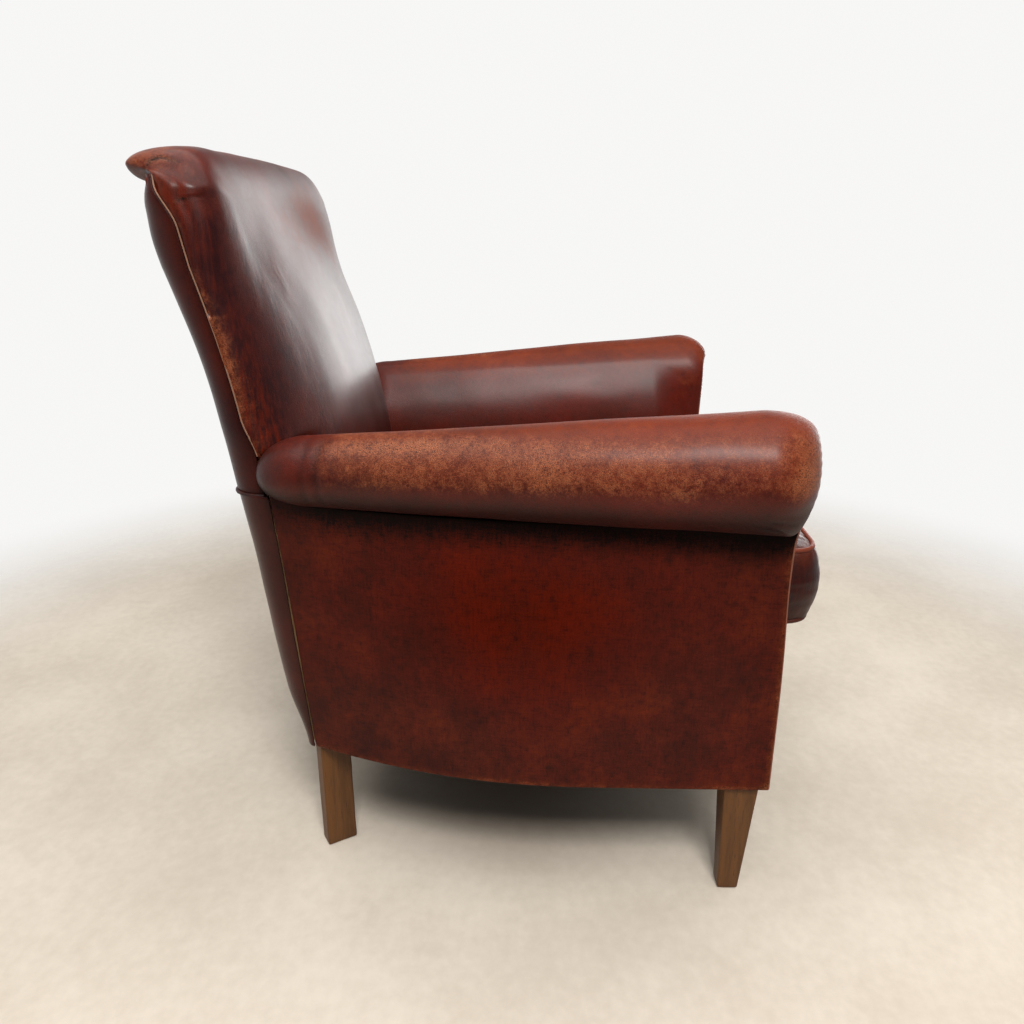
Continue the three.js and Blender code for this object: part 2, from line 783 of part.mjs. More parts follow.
function cushionForm(inset) {
  const rows = boxingRows.length - 1;
  const geometry = new THREE.BoxGeometry(1, 1, 1, 10, 10, rows);
  return shaped(geometry, (p, q, w) => {
    const [u, v] = [crowd(p), crowd(q)];
    const height = boxingRows[Math.round((w + 0.5) * rows)];
    const across = clamp((height - pipingBand) / (1 - 2 * pipingBand), 0, 1);
    const bulge = cushionBulge * Math.sin(Math.PI * across);
    const [x, y] = cushionEdge(u, v, bulge - inset);
    const limit = armInnerX(y) - cushionGap * 0.3 - inset;
    const inside = Math.max(0, 1 - (2 * u) ** 2) * Math.max(0, 1 - (2 * v) ** 2);
    const crown = cushionCrown * Math.sqrt(inside);
    const z = lerp(cushionBottom + inset, cushionTop + crown - inset, height);
    return [clamp(x, -limit, limit), y, z];
  });
}
function cushionCover() {
  const middle = (cushionBottom + cushionTop) / 2;
  const zip = boxFromTo(
    [-zipLength / 2, cushionRearY - 20, middle - zipHeight / 2],
    [zipLength / 2, cushionRearY + 60, middle + zipHeight / 2],
  );
  return cut(cushionForm(0), cushionForm(leather), zip);
}
// Piping along the same corners as the cover's edge.
function cushionPiping(z) {
  const perSide = 10;
  const ring = new THREE.TorusGeometry(10, 1, 6, 4 * perSide);
  return shaped(ring, (x, y, w) => {
    const out = Math.hypot(x, y) - 10;
    const turn = (Math.atan2(y, x) / (2 * Math.PI) + 1) % 1;
    const place = Math.round(turn * 4 * perSide);
    const side = Math.floor(place / perSide) % 4;
    const along = crowd((place % perSide) / perSide - 0.5);
    const [u, v] = [[0.5, along], [-along, 0.5], [-0.5, -along], [along, -0.5]][side];
    const grow = clearance + pipingRadius * (1 + out);
    return [...cushionEdge(u, v, grow), z + w * pipingRadius];
  });
}

// Suspension of the back, and the cloth under the seat

function backStrap(z) {
  const half = postX(z) + postWidth / 2 - 12;
  const low = z - webbingWidth / 2;
  const high = z + webbingWidth / 2;
  const middle = bendZ > low + 3 && bendZ < high - 3 ? bendZ : z;
  const rows = [low, middle, high];
  return bar(2, (u, v, w) => {
    const height = rows[Math.round(v * 2)];
    const y = postFrontY(height) - clearance - (w + 0.5) * webbingThickness;
    return [u * 2 * half, y, height];
  });
}
function dustCover() {
  const steps = 8;
  const set = leather + 6;
  const front = facingY + set;
  const rear = postRearY(railBottom);
  const left = [];
  const right = [];
  for (let i = 0; i <= steps; i++) {
    const y = lerp(front, rear, i / steps);
    const x = Math.min(sideX(y, legHeight) - set, sideX(rear, legHeight) + (rear - y) * 1.2);
    left.push([x, y]);
    right.unshift([-x, y]);
  }
  const sheetZ = railBottom - clearance - dustCoverThickness;
  const cloth = extrudeZ(outline([...left, ...right]), sheetZ, railBottom - clearance);
  const room = 2;
  const cornerRoom = 30; // the cloth stops short of the corner outside the back leg
  const space = 2 * room + cornerRoom;
  const square = (frontLegTop + 2 * room) / 2;
  const holes = [-1, 1].flatMap((side) => [
    boxFromTo(
      [side * frontLegX - square, frontLegY - square, 0],
      [side * frontLegX + square, frontLegY + square, railBottom],
    ),
    new THREE.BoxGeometry(backLegThickness + space, backLegWidth + space, railBottom)
      .translate((side * cornerRoom) / 2, cornerRoom / 2, railBottom / 2)
      .rotateZ(-side * backLegTurn)
      .translate(side * backLegX, backLegY, 0),
  ]);
  return cut(cloth, ...holes);
}

// Assembly: first one side's pieces, built at +X and mirrored for the right side.

function addSide(side, label) {
  const group = new THREE.Group();
  group.scale.x = side;
  chair.add(group);
  const put = (name, geometry, material) => add(`${name}_${label}`, geometry, material, group);

  put("front_leg", frontLeg(), stainedWood);
  put("back_leg", backLeg(), stainedWood);
  put("front_glide", rod(frontLegFoot / 2 - 1, 0, glideThickness, frontLegX, frontLegY, 20), felt);
  put("back_glide", rod(backLegThickness / 2 - 1, 0, glideThickness, backLegX, backLegY, 20), felt);
  put("front_leg_bolt", legBolt(frontLegX, frontLegY), steel);
  put("back_leg_bolt", legBolt(backLegX, backLegY), steel);

  put("arm_stump", cut(stump(), legBolt(frontLegX, frontLegY, boltHoleClearance)), beech);
  put("back_post", cut(backPost(), legBolt(backLegX, backLegY, boltHoleClearance)), beech);
  put("side_rail", sideRail(), beech);
  put("arm_board", armBoard(), beech);
  put("arm_tack_rail", armTackRail(), beech);
  const railRear = frontRailY + railThickness;
  put("front_glue_block", glueBlock([panelX - leather - railThickness, railRear], [-1, 1]), beech);
  put("back_glue_block", glueBlock([postX(railBottom), backRailY], [-1, -1]), beech);

  put("arm_pad", armPad(), wadding);
  put("arm_cover", armCover(), hide);
  put("arm_front", armFront(), hide);
  put("outside_arm", outsideArm(), hide);

  const weltLow = shoulderZ + 2;
  const weltHigh = lipZ - 4;
  const welt = new THREE.CylinderGeometry(weltRadius, weltRadius, 1, 8, 6).rotateX(Math.PI / 2);
  shaped(welt, (x, y, z) => {
    const height = lerp(weltLow, weltHigh, z + 0.5);
    const narrow = crestNarrowing * clamp((height - shoulderZ) / (overallHeight - shoulderZ), 0, 1);
    return [backHalf - narrow - weltRadius + x, weltY(height) + y, height];
  });
  put("back_welt", welt, hide);
}
addSide(1, "left");
addSide(-1, "right");

add("front_rail", frontRail(), beech);
const sideRails = [sideRail(clearance), mirrored(sideRail(clearance))];
add("back_rail", cut(backRail(), ...bothPosts, ...sideRails), beech);
const backTackRail = acrossBack(backTackLow, backTackLow + tackRailHeight, tackRailThickness);
add("back_tack_rail", cut(backTackRail, ...bothPosts), beech);
add("crest_rail", cut(crestRail(), ...bothPosts), beech);

const springReach = postX(railBottom) - postWidth / 2 - springMargin - springWaveHalf - springWire;
for (let i = 0; i < springCount; i++) {
  const x = lerp(-springReach, springReach, i / (springCount - 1));
  add(`seat_spring_${i + 1}`, seatSpring(x), steel);
}
for (let i = 0; i < webbingCount; i++) {
  const low = backTackLow + tackRailHeight + webbingWidth;
  const high = crestRailLow - webbingWidth;
  add(`back_webbing_${i + 1}`, backStrap(lerp(low, high, i / (webbingCount - 1))), jute);
}
add("seat_deck", seatDeck(), jute);
add("front_edge_pad", frontEdgePad(), foam);
add("dust_cover", dustCover(), blackCloth);

add("back_pad", backPad(), foam);
add("inside_back_cover", insideBackCover(), hide);
add("outside_back_upper", outsideBackUpper(), hide);
add("outside_back_lower", outsideBackLower(), hide);
add("front_border", frontBorder(), hide);

add("cushion_core", cushionForm(leather + clearance), foam);
add("cushion_cover", cushionCover(), hide);
add("cushion_piping_top", cushionPiping(cushionTop - pipingRadius), hide);
add("cushion_piping_bottom", cushionPiping(cushionBottom + pipingRadius), hide);

export default chair;
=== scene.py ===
# Worn leather club chair: the looks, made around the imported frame. Metres, +Z up, the chair faces -Y.
import math

import bpy
import numpy as np
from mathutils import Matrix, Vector


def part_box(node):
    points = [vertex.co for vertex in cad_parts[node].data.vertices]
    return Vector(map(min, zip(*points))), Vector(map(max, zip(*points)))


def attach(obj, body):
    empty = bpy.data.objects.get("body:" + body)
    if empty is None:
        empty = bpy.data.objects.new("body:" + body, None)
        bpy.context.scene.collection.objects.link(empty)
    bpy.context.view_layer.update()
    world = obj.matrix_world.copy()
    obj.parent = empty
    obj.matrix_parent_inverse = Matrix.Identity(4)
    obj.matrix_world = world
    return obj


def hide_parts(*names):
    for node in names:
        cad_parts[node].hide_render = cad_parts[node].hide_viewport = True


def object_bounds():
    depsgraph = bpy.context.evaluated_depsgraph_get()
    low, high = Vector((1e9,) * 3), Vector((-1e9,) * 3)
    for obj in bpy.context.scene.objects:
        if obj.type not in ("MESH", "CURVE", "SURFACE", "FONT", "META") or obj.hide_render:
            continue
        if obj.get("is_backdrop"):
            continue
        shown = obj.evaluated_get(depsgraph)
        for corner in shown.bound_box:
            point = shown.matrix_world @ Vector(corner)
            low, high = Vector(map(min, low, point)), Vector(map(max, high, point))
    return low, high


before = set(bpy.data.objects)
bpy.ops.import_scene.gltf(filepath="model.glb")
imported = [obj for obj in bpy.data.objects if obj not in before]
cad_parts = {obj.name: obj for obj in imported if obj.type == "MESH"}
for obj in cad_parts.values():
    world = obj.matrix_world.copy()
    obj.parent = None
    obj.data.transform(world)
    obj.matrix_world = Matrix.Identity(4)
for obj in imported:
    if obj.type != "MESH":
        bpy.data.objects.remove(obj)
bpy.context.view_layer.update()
print("frame loaded:", len(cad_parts), "nodes")


# Small sums
quarter = math.pi / 2


def lerp(a, b, t):
    return a + (b - a) * t


def share(x, low, high):  # 0 at low, 1 at high, and no further
    return np.clip((x - low) / (high - low), 0, 1)


def smooth(x, low, high):
    t = share(x, low, high)
    return t * t * (3 - 2 * t)


def bell(x, middle, width):
    return np.exp(-(((x - middle) / width) ** 2))


def softNoise(at, size, seed):  # value noise from -1 to 1, the same each run
    cell = at / np.asarray(size) + seed * 7.31
    base = np.floor(cell).astype(np.int64)
    part = cell - base
    part = part * part * (3 - 2 * part)
    total = np.zeros(len(at))
    for corner in range(8):
        step = np.array([corner & 1, corner >> 1 & 1, corner >> 2 & 1])
        key = base + step
        mixed = key[:, 0] * 73856093 ^ key[:, 1] * 19349663 ^ key[:, 2] * 83492791 ^ seed * 40503
        value = (((mixed & 0xFFFFF) * 1103515245 + 12345) >> 7 & 0xFFFF) / 65535
        total += np.prod(np.where(step, part, 1 - part), axis=1) * value
    return total * 2 - 1


# Working on meshes
def deselect():
    bpy.ops.object.select_all(action="DESELECT")


def pick(obj):
    deselect()
    obj.select_set(True)
    bpy.context.view_layer.objects.active = obj


def points(obj):
    flat = np.empty(len(obj.data.vertices) * 3)
    obj.data.vertices.foreach_get("co", flat)
    return flat.reshape(-1, 3)


def setPoints(obj, at):
    obj.data.vertices.foreach_set("co", np.asarray(at, np.float32).ravel())
    obj.data.update()


def added(name):  # the object that an operator has just made
    obj = bpy.context.object
    obj.name = obj.data.name = name
    return obj


def push(obj, amount):  # along the surface's own normals
    flat = np.empty(len(obj.data.vertices) * 3, np.float32)
    obj.data.vertex_normals.foreach_get("vector", flat)
    setPoints(obj, points(obj) + flat.reshape(-1, 3) * amount[:, None])


def grid(name, across, along, place):  # a flat grid whose points a formula puts in place
    deselect()
    bpy.ops.mesh.primitive_grid_add(x_subdivisions=across, y_subdivisions=along, size=1)
    obj = added(name)
    flat = points(obj)[:, :2] + 0.5
    setPoints(obj, np.column_stack(place(flat[:, 0], flat[:, 1])))
    return obj, flat[:, 0], flat[:, 1]


def block(name):
    deselect()
    bpy.ops.mesh.primitive_cube_add(size=1)
    return added(name)


def faceAway(obj, *inside):  # turns an open sheet's faces away from a point
    centre = Vector(inside)
    total = sum((face.center - centre).dot(face.normal) * face.area for face in obj.data.polygons)
    if total < 0:
        obj.data.flip_normals()


def toSide(obj, sign):  # pieces are made on the left and mirrored for the right
    if sign < 0:
        setPoints(obj, points(obj) * (-1, 1, 1))
        obj.data.flip_normals()


def modify(obj, kind, **settings):
    pick(obj)
    modifier = obj.modifiers.new(kind, kind)
    for name, value in settings.items():
        setattr(modifier, name, value)
    bpy.ops.object.modifier_apply(modifier=modifier.name)


def soften(obj, width, segments, degrees):  # rounds the edges that turn more sharply than this
    sharp = math.radians(degrees)
    modify(obj, "BEVEL", width=width, segments=segments, limit_method="ANGLE", angle_limit=sharp)


def thicken(obj, thick, edge=0.0009):  # a hide's thickness, with softened cut edges
    modify(obj, "SOLIDIFY", thickness=thick, offset=-1)
    soften(obj, edge, 2, 50)


def paint(obj, **layers):  # what the finishes read: wear (with painted sheen on some pieces), speck, shade (painted shade), warm, wrinkle, dull and pale
    for name, values in layers.items():
        layer = obj.data.attributes.new(name, "FLOAT", "POINT")
        layer.data.foreach_set("value", np.float32(values + np.zeros(len(obj.data.vertices))))


def crease(obj, route, width, depth):  # a pulled fold: a groove between two soft rolls
    at = points(obj)
    route = np.array(route, float)
    best, along = np.full(len(at), np.inf), np.zeros(len(at))
    count = len(route) - 1
    for i in range(count):
        run = route[i + 1] - route[i]
        t = np.clip((at - route[i]) @ run / (run @ run), 0, 1)
        away = np.linalg.norm(at - route[i] - t[:, None] * run, axis=1)
        along = np.where(away < best, (i + t) / count, along)
        best = np.minimum(best, away)
    fade = np.sin(np.pi * np.clip(along, 0.04, 0.96)) ** 0.6
    groove = np.exp(-((best / width) ** 2))
    push(obj, fade * depth * (0.45 * bell(best, 2.4 * width, 1.3 * width) - groove))
    return fade * groove


def tube(name, route, radius, closed=False):  # piping along a route
    line = bpy.data.curves.new(name, "CURVE")
    line.dimensions = "3D"
    line.bevel_depth, line.bevel_resolution, line.use_fill_caps = radius, 3, True
    spline = line.splines.new("POLY")
    spline.points.add(len(route) - 1)
    for point, at in zip(spline.points, route):
        point.co = (*at, 1)
    spline.use_cyclic_u = closed
    obj = bpy.data.objects.new(name, line)
    bpy.context.collection.objects.link(obj)
    pick(obj)
    bpy.ops.object.convert(target="MESH")
    return bpy.context.object


def finishPiece(obj, finish, slot, *nodes):
    obj.data.materials.clear()
    obj.data.materials.append(finish)
    pick(obj)
    bpy.ops.object.shade_smooth_by_angle(angle=math.radians(55))
    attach(obj, "root")
    if nodes:
        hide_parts(*nodes)
    return obj


# Shader maths: an expression on values adds its Math nodes
class Value:
    def __init__(self, tree, socket=None):
        self.tree, self.socket = tree, socket

    def node(self, kind, settings, inputs, output=0):
        made = self.tree.nodes.new("ShaderNode" + kind)
        for name, value in settings.items():
            if name == "stops":
                ramp = made.color_ramp.elements
                while len(ramp) < len(value):
                    ramp.new(1)
                for stop, (position, colour) in zip(ramp, value):
                    stop.position, stop.color = position, (*colour, 1)
            else:
                setattr(made, name, value)
        for name, value in inputs.items():
            if isinstance(value, Value):
                self.tree.links.new(value.socket, made.inputs[name])
            else:
                made.inputs[name].default_value = value
        return Value(self.tree, made.outputs[output])

    def sum(self, operation, first, second):
        return self.node("Math", {"operation": operation}, {0: first, 1: second})

    def __add__(self, other):
        return self.sum("ADD", self, other)

    def __sub__(self, other):
        return self.sum("SUBTRACT", self, other)

    def __rsub__(self, other):
        return self.sum("SUBTRACT", other, self)

    def __mul__(self, other):
        return self.sum("MULTIPLY", self, other)

    __radd__ = __add__
    __rmul__ = __mul__

    def between(self, low, high):  # 0 below low, 1 above high
        settings = {"interpolation_type": "SMOOTHSTEP"}
        return self.node("MapRange", settings, {"Value": self, "From Min": low, "From Max": high})

    def mix(self, first, second):  # two colours
        return self.node("Mix", {"data_type": "RGBA"}, {0: self, 6: first, 7: second}, 2)

    def place(self, *stretch):  # object coordinates, stretched where grain has a direction
        at = self.node("TexCoord", {}, {}, "Object")
        return at.node("Mapping", {}, {"Vector": at, "Scale": stretch}) if stretch else at

    def noise(self, at, scale, detail=3, rough=0.55):
        return self.node("TexNoise", {}, {"Vector": at, "Scale": scale, "Detail": detail, "Roughness": rough})

    def cells(self, at, scale, feature="F1"):
        return self.node("TexVoronoi", {"feature": feature}, {"Vector": at, "Scale": scale})

    def length(self):
        return self.node("VectorMath", {"operation": "LENGTH"}, {0: self}, "Value")

    def along(self, *way):
        return self.node("VectorMath", {"operation": "DOT_PRODUCT"}, {0: self, 1: way}, "Value")

    def painted(self, name):
        return self.node("Attribute", {"attribute_name": name}, {}, "Fac")

    def bump(self, height, distance, strength):
        return self.node("Bump", {}, {"Height": height, "Distance": distance, "Strength": strength})


def rgb(r, g, b):  # a colour as it is seen, from 0 to 255
    def light(level):
        level /= 255
        return level / 12.92 if level < 0.04045 else ((level + 0.055) / 1.055) ** 2.4
    return light(r), light(g), light(b)


def opaque(colour):
    return (*colour, 1)


def newFinish(name, **fixed):  # fixed values sit on the shader's own sockets
    material = bpy.data.materials.new(name)
    material.use_nodes = True
    shader = material.node_tree.nodes["Principled BSDF"]
    for socket, value in fixed.items():
        shader.inputs[socket.replace("_", " ")].default_value = value
    start = Value(material.node_tree)

    def feed(**varying):
        for socket, value in varying.items():
            material.node_tree.links.new(value.socket, shader.inputs[socket.replace("_", " ")])
        return material
    return start, feed


# Leather: one hide, worn in different ways by what is painted on each piece, which also paints shade and, on
# some pieces, sheen into its colour
hide = {
    "deep": rgb(12, 4, 3), "plum": rgb(44, 13, 14), "ox": rgb(73, 21, 11), "chestnut": rgb(94, 20, 3),
    "russet": rgb(124, 50, 24), "rubbedAndSheen": rgb(134, 58, 26), "tan": rgb(184, 108, 70),
    "cord": rgb(48, 15, 10), "cordRubbed": rgb(116, 50, 30), "cordPale": rgb(168, 128, 104),
    "cloud": 4.2, "blotch": 16, "fine": 95, "crackle": 320, "grit": 1000, "pebble": 720,
}


def leather(name, rough, specular, coat=0.0, soft=0.33, streak=0.0, pebble=0.35, bumpy=0.5, mottle=1.0):
    start, feed = newFinish(name, Specular_IOR_Level=specular, Coat_Roughness=soft, Coat_IOR=1.38)
    at = start.place()
    wear, speck, shade = start.painted("wear"), start.painted("speck"), start.painted("shade")
    warm, wrinkle, dull = start.painted("warm"), start.painted("wrinkle"), start.painted("dull")
    cloud = start.noise(at, hide["cloud"], 4)
    blotch = start.noise(at, hide["blotch"], 5, 0.62)
    fine = start.noise(at, hide["fine"], 4, 0.6)
    grit = start.noise(at, hide["grit"], 3, 0.75)
    pebbles = start.cells(at, hide["pebble"])
    valley = 1 - start.cells(at, hide["pebble"], "DISTANCE_TO_EDGE").between(0.02, 0.2)
    crackle = start.noise(at, hide["crackle"], 5, 0.75)
    ridges = start.noise(start.place(210, 210, 26), 1, 3, 0.6)

    patchy = (cloud - 0.5) * 1.1 + (blotch - 0.5) * 0.65 + (fine - 0.5) * 0.35
    tone = warm * 0.42 + 0.36 + patchy * mottle + (ridges - 0.5) * wrinkle * 2.6
    stops = [(0, hide["plum"]), (0.4, hide["ox"]), (0.75, hide["chestnut"]), (1, hide["russet"])]
    colour = start.node("ValToRGB", {"stops": stops}, {"Fac": tone})
    # the painted wear layer, which on some pieces also carries painted sheen, lightens the colour towards the
    # rubbed tone
    rubAndSheen = (wear + (blotch - 0.5) * 0.8 + (fine - 0.5) * 0.3).between(0.1, 1.0) * wear.between(0.02, 0.25)
    colour = (rubAndSheen * 0.75).mix(colour, opaque(hide["rubbedAndSheen"]))
    patch = (speck + (blotch - 0.5) * 0.9 + (fine - 0.5) * 0.3).between(0.05, 1.0) * speck.between(0.02, 0.2)
    spots = (crackle * 0.7 + grit * 0.3 + patch * 0.2 + (fine - 0.5) * 0.3).between(0.46, 0.72) * patch
    colour = (spots * 0.8).mix(colour, opaque(hide["tan"]))
    dark = shade + valley * (patch * 0.7 + 0.3) + (0.47 - fine).between(0, 0.2) * 0.12
    if streak:
        drawn = start.noise(start.place(120, 60, 420), 1, 4, 0.65)
        drawn = drawn + start.noise(start.place(120, 420, 60), 1, 4, 0.65)
        dark = dark + (drawn - 0.85).between(0, 0.6) * streak + (0.5 - fine) * streak * 0.8
    colour = dark.mix(colour, opaque(hide["deep"]))

    height = grit * 0.15 + fine * 0.4 + wrinkle * ridges * 2.2 - pebbles * pebble - valley * pebble * 0.4
    roughness = rough + rubAndSheen * 0.12 + (fine - 0.5) * 0.2 + (grit - 0.5) * 0.2 + shade * 0.15
    gloss = (1 - dull * 0.6) * (1 - rubAndSheen * 0.35) * (1 - shade * 0.6) * (0.75 + blotch * 0.5) * coat
    bump = start.bump(height, 0.0011, bumpy)
    return feed(Base_Color=colour, Roughness=roughness + dull * 0.2, Coat_Weight=gloss, Normal=bump)


def piping(name):  # narrow cord covers, rubbed along the top
    start, feed = newFinish(name, Specular_IOR_Level=0.3)
    at = start.place()
    rubAndSheen = (start.noise(at, 60, 4, 0.65) + (start.painted("wear") - 0.5) * 0.8).between(0.38, 0.62)
    colour = rubAndSheen.mix(opaque(hide["cord"]), opaque(hide["cordRubbed"]))
    colour = start.painted("shade").mix(colour, opaque(hide["deep"]))
    colour = start.painted("pale").mix(colour, opaque(hide["cordPale"]))
    fleck = start.noise(at, 700, 2, 0.6)
    return feed(Base_Color=colour, Roughness=0.42 + fleck * 0.15, Normal=start.bump(fleck, 0.0006, 0.4))


def stainedWood(name, light, dark, rough):
    start, feed = newFinish(name, Coat_Weight=0.06, Coat_Roughness=0.3, Specular_IOR_Level=0.3)
    grain = start.noise(start.place(70, 70, 4), 1, 6, 0.62)
    pores = start.noise(start.place(900, 900, 28), 1, 2, 0.6).between(0.56, 0.7)
    patch = start.noise(start.place(), 14, 3)
    colour = (grain.between(0.3, 0.7) * 0.7 + patch * 0.3).mix(opaque(dark), opaque(light))
    colour = (pores * 0.45).mix(colour, opaque([level * 0.35 for level in dark]))
    bump = start.bump(grain - pores, 0.0005, 0.35)
    return feed(Base_Color=colour, Roughness=rough + grain * 0.12, Normal=bump)


def woven(name, light, dark, pitch):  # plain cloth: threads over and under
    start, feed = newFinish(name, Specular_IOR_Level=0.2)
    turns = 2 * math.pi / pitch
    parts = start.node("SeparateXYZ", {}, {"Vector": start.place()}).socket.node.outputs
    x, y, z = (Value(start.tree, socket) for socket in parts)
    warp = start.node("Math", {"operation": "SINE"}, {0: (x + y) * turns})
    weft = start.node("Math", {"operation": "SINE"}, {0: (y - x + z) * turns})
    weave = (warp * weft * 0.5 + 0.5) * 0.8 + start.noise(start.place(), 240, 3) * 0.3
    colour = weave.between(0.1, 0.9).mix(opaque(dark), opaque(light))
    return feed(Base_Color=colour, Roughness=weave * 0.1 + 0.82, Normal=start.bump(weave, pitch * 0.3, 0.5))


def spongy(name, light, dark, size):  # pressed fibre
    start, feed = newFinish(name, Specular_IOR_Level=0.15)
    pores = start.cells(start.place(), 1 / size) + start.noise(start.place(), 0.4 / size, 4) * 0.6
    colour = pores.between(0.3, 1.0).mix(opaque(dark), opaque(light))
    return feed(Base_Color=colour, Roughness=pores * 0.08 + 0.85, Normal=start.bump(pores, size * 0.5, 0.5))


def springSteel(name):
    start, feed = newFinish(name, Metallic=1.0)
    scuff = start.noise(start.place(40, 40, 400), 1, 4, 0.6)
    colour = scuff.mix(opaque(rgb(120, 118, 116)), opaque(rgb(176, 174, 170)))
    return feed(Base_Color=colour, Roughness=scuff * 0.25 + 0.28, Normal=start.bump(scuff, 0.0003, 0.2))


finishes = {
    "arm": leather("armLeather", 0.4, 0.12, coat=0.46, soft=0.33, bumpy=0.6),
    "panel": leather("panelLeather", 0.5, 0.02, coat=0.36, soft=0.5, streak=0.42, pebble=0.15, bumpy=0.35,
                     mottle=0.8),
    "back": leather("backLeather", 0.34, 0.08, coat=0.5, soft=0.28, pebble=0.3, bumpy=0.4),
    "cushion": leather("cushionLeather", 0.4, 0.18, coat=0.25, soft=0.3, pebble=0.25),
    "piping": piping("pipingLeather"),
    "leg": stainedWood("legWood", rgb(108, 68, 30), rgb(70, 41, 15), 0.48),
    "frame_wood": stainedWood("beechWood", rgb(205, 170, 125), rgb(170, 132, 90), 0.6),
    "steel": springSteel("springSteel"),
    "jute": woven("jute", rgb(178, 146, 98), rgb(108, 82, 50), 0.003),
    "black_cloth": woven("blackCloth", rgb(44, 43, 43), rgb(14, 14, 15), 0.0011),
    "felt": spongy("felt", rgb(206, 196, 176), rgb(150, 140, 122), 0.0009),
}
print("finishes made:", len(finishes))


def pipe(name, route, radius, *nodes, closed=False, **layers):
    cord = tube(name, route, radius, closed)
    paint(cord, **layers)
    return finishPiece(cord, finishes["piping"], "leather", *nodes)


# The camera stands where the photograph's did
shot = {"place": (-1.1638, -0.0355, 0.8022), "lens": 29.39, "pitch": 18.952, "yaw": 1.592}
turn = (math.radians(90 - shot["pitch"]), 0, math.radians(shot["yaw"] - 90))
bpy.ops.object.camera_add(location=shot["place"], rotation=turn)
camera = bpy.context.object
camera.data.lens, camera.data.sensor_width, camera.data.clip_end = shot["lens"], 36, 60
bpy.context.scene.camera = camera

# A pale floor that fades out, with a shadow painted dark under the chair, and soft light
stage = {
    "radius": 3.4, "solid": 0.95, "gone": 1.75,
    "pale": rgb(214, 204, 190), "spot": rgb(196, 185, 170), "shadowTone": rgb(128, 112, 98),
}
deselect()
bpy.ops.mesh.primitive_circle_add(vertices=96, radius=stage["radius"], fill_type="NGON")
floor = added("floor")
start, feed = newFinish("paleFloor", Specular_IOR_Level=0.15, Roughness=0.8)
mottle = start.noise(start.place(), 3.5, 6, 0.6) * 0.7 + start.noise(start.place(), 60, 4) * 0.3
tint = mottle.between(0.3, 0.7).mix(opaque(stage["spot"]), opaque(stage["pale"]))
# painted shadow: the floor's colour goes to a dark tone under the chair
outOfShadow = start.place(1, 1.15, 1).length().between(0.05, 0.36)
floor.data.materials.append(feed(Base_Color=outOfShadow.mix(opaque(stage["shadowTone"]), tint)))
fade = start.place().length().between(stage["solid"], stage["gone"])
clear = start.node("BsdfTransparent", {}, {})
solid = Value(start.tree, start.tree.nodes["Principled BSDF"].outputs[0])
faded = start.node("MixShader", {}, {0: fade, 1: solid, 2: clear})
start.tree.links.new(faded.socket, start.tree.nodes["Material Output"].inputs["Surface"])
floor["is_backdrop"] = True

room = {
    "backdrop": 0.93, "bright": 0.55, "dim": 0.10, "sheen": 5.5, "rear": 0.6, "tint": (1, 0.995, 0.985),
    "window": (0.94, -0.30, 0.08), "behind": (0.15, 0.98, 0.1),
}
world = bpy.data.worlds.new("studio")
world.use_nodes = True
bpy.context.scene.world = world
air = Value(world.node_tree)
heading = air.node("TexCoord", {}, {}, "Generated")
window, behind = heading.along(*room["window"]), heading.along(*room["behind"])
upward, sideways = heading.along(0, 0, 1), heading.along(0, 1, 0)
glossy = air.node("LightPath", {}, {}, "Is Glossy Ray")
seen = air.node("LightPath", {}, {}, "Is Camera Ray")
level = window.between(-0.35, 0.75) * (room["bright"] - room["dim"]) + room["dim"]
level = level * (1 - glossy * upward.between(0.12, 0.4) * 0.6)
low = (1 - upward.between(0.3, 0.6)) * (1 - sideways.between(-0.45, -0.05) * 0.86)
shine = window.between(0.84, 0.985) * low * room["sheen"] + behind.between(0.2, 0.95) * room["rear"]
strength = (level + glossy * shine) * (1 - seen) + seen * room["backdrop"]
background = world.node_tree.nodes["Background"]
world.node_tree.links.new(strength.socket, background.inputs["Strength"])
background.inputs["Color"].default_value = opaque(room["tint"])

lamps = {  # place, looked-at point, size, power
    "overhead": ((-0.35, 0.05, 2.9), (-0.1, 0, 0.4), 3.2, 71),
    "windowHigh": ((-2.1, -0.35, 2.75), (0, 0, 0.5), 0.85, 86),
}
for name, (place, target, size, power) in lamps.items():
    bpy.ops.object.light_add(type="AREA", location=place)
    lamp = bpy.context.object
    lamp.name = name
    lamp.data.energy, lamp.data.size, lamp.data.color = power, size, (1, 0.98, 0.955)
    aim = np.array(target) - np.array(place)
    tilt = math.acos(-aim[2] / np.linalg.norm(aim))
    lamp.rotation_euler = (tilt, 0, math.atan2(aim[1], aim[0]) - quarter)
bpy.context.scene.view_settings.view_transform = "Standard"
print("camera, floor and lights set")

# The chair's own lines, as the frame is built to them
facingBox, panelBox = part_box("arm_front_left"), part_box("outside_arm_left")
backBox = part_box("inside_back_cover")
rollFront = (facingBox[1].x - facingBox[0].x) / 2
lines = {
    "facingY": facingBox[0].y, "bottom": facingBox[0].z, "panelX": panelBox[1].x,
    "bendZ": 0.510, "bendY": 0.3123, "lowerRake": 0.117, "upperRake": 0.209,
    "hollow": 0.007, "hollowTall": 0.25,
    "tubFrom": -0.1005, "tubEnd": 0.2464, "tubInset": 0.076, "tubFlare": 0.53,
    "seamLow": 0.025, "seamHigh": 0.047,
    "crestY": backBox[1].y, "crestZ": backBox[1].z, "backThick": 0.096, "lipZ": 0.846, "insideRake": 0.262,
    "backHalf": 0.265, "backHalfTop": 0.253, "backHalfLow": 0.212, "shoulderZ": 0.585,
    "weltSet": 0.036, "weltTop": 0.0125, "weltFoot": 0.008,
}
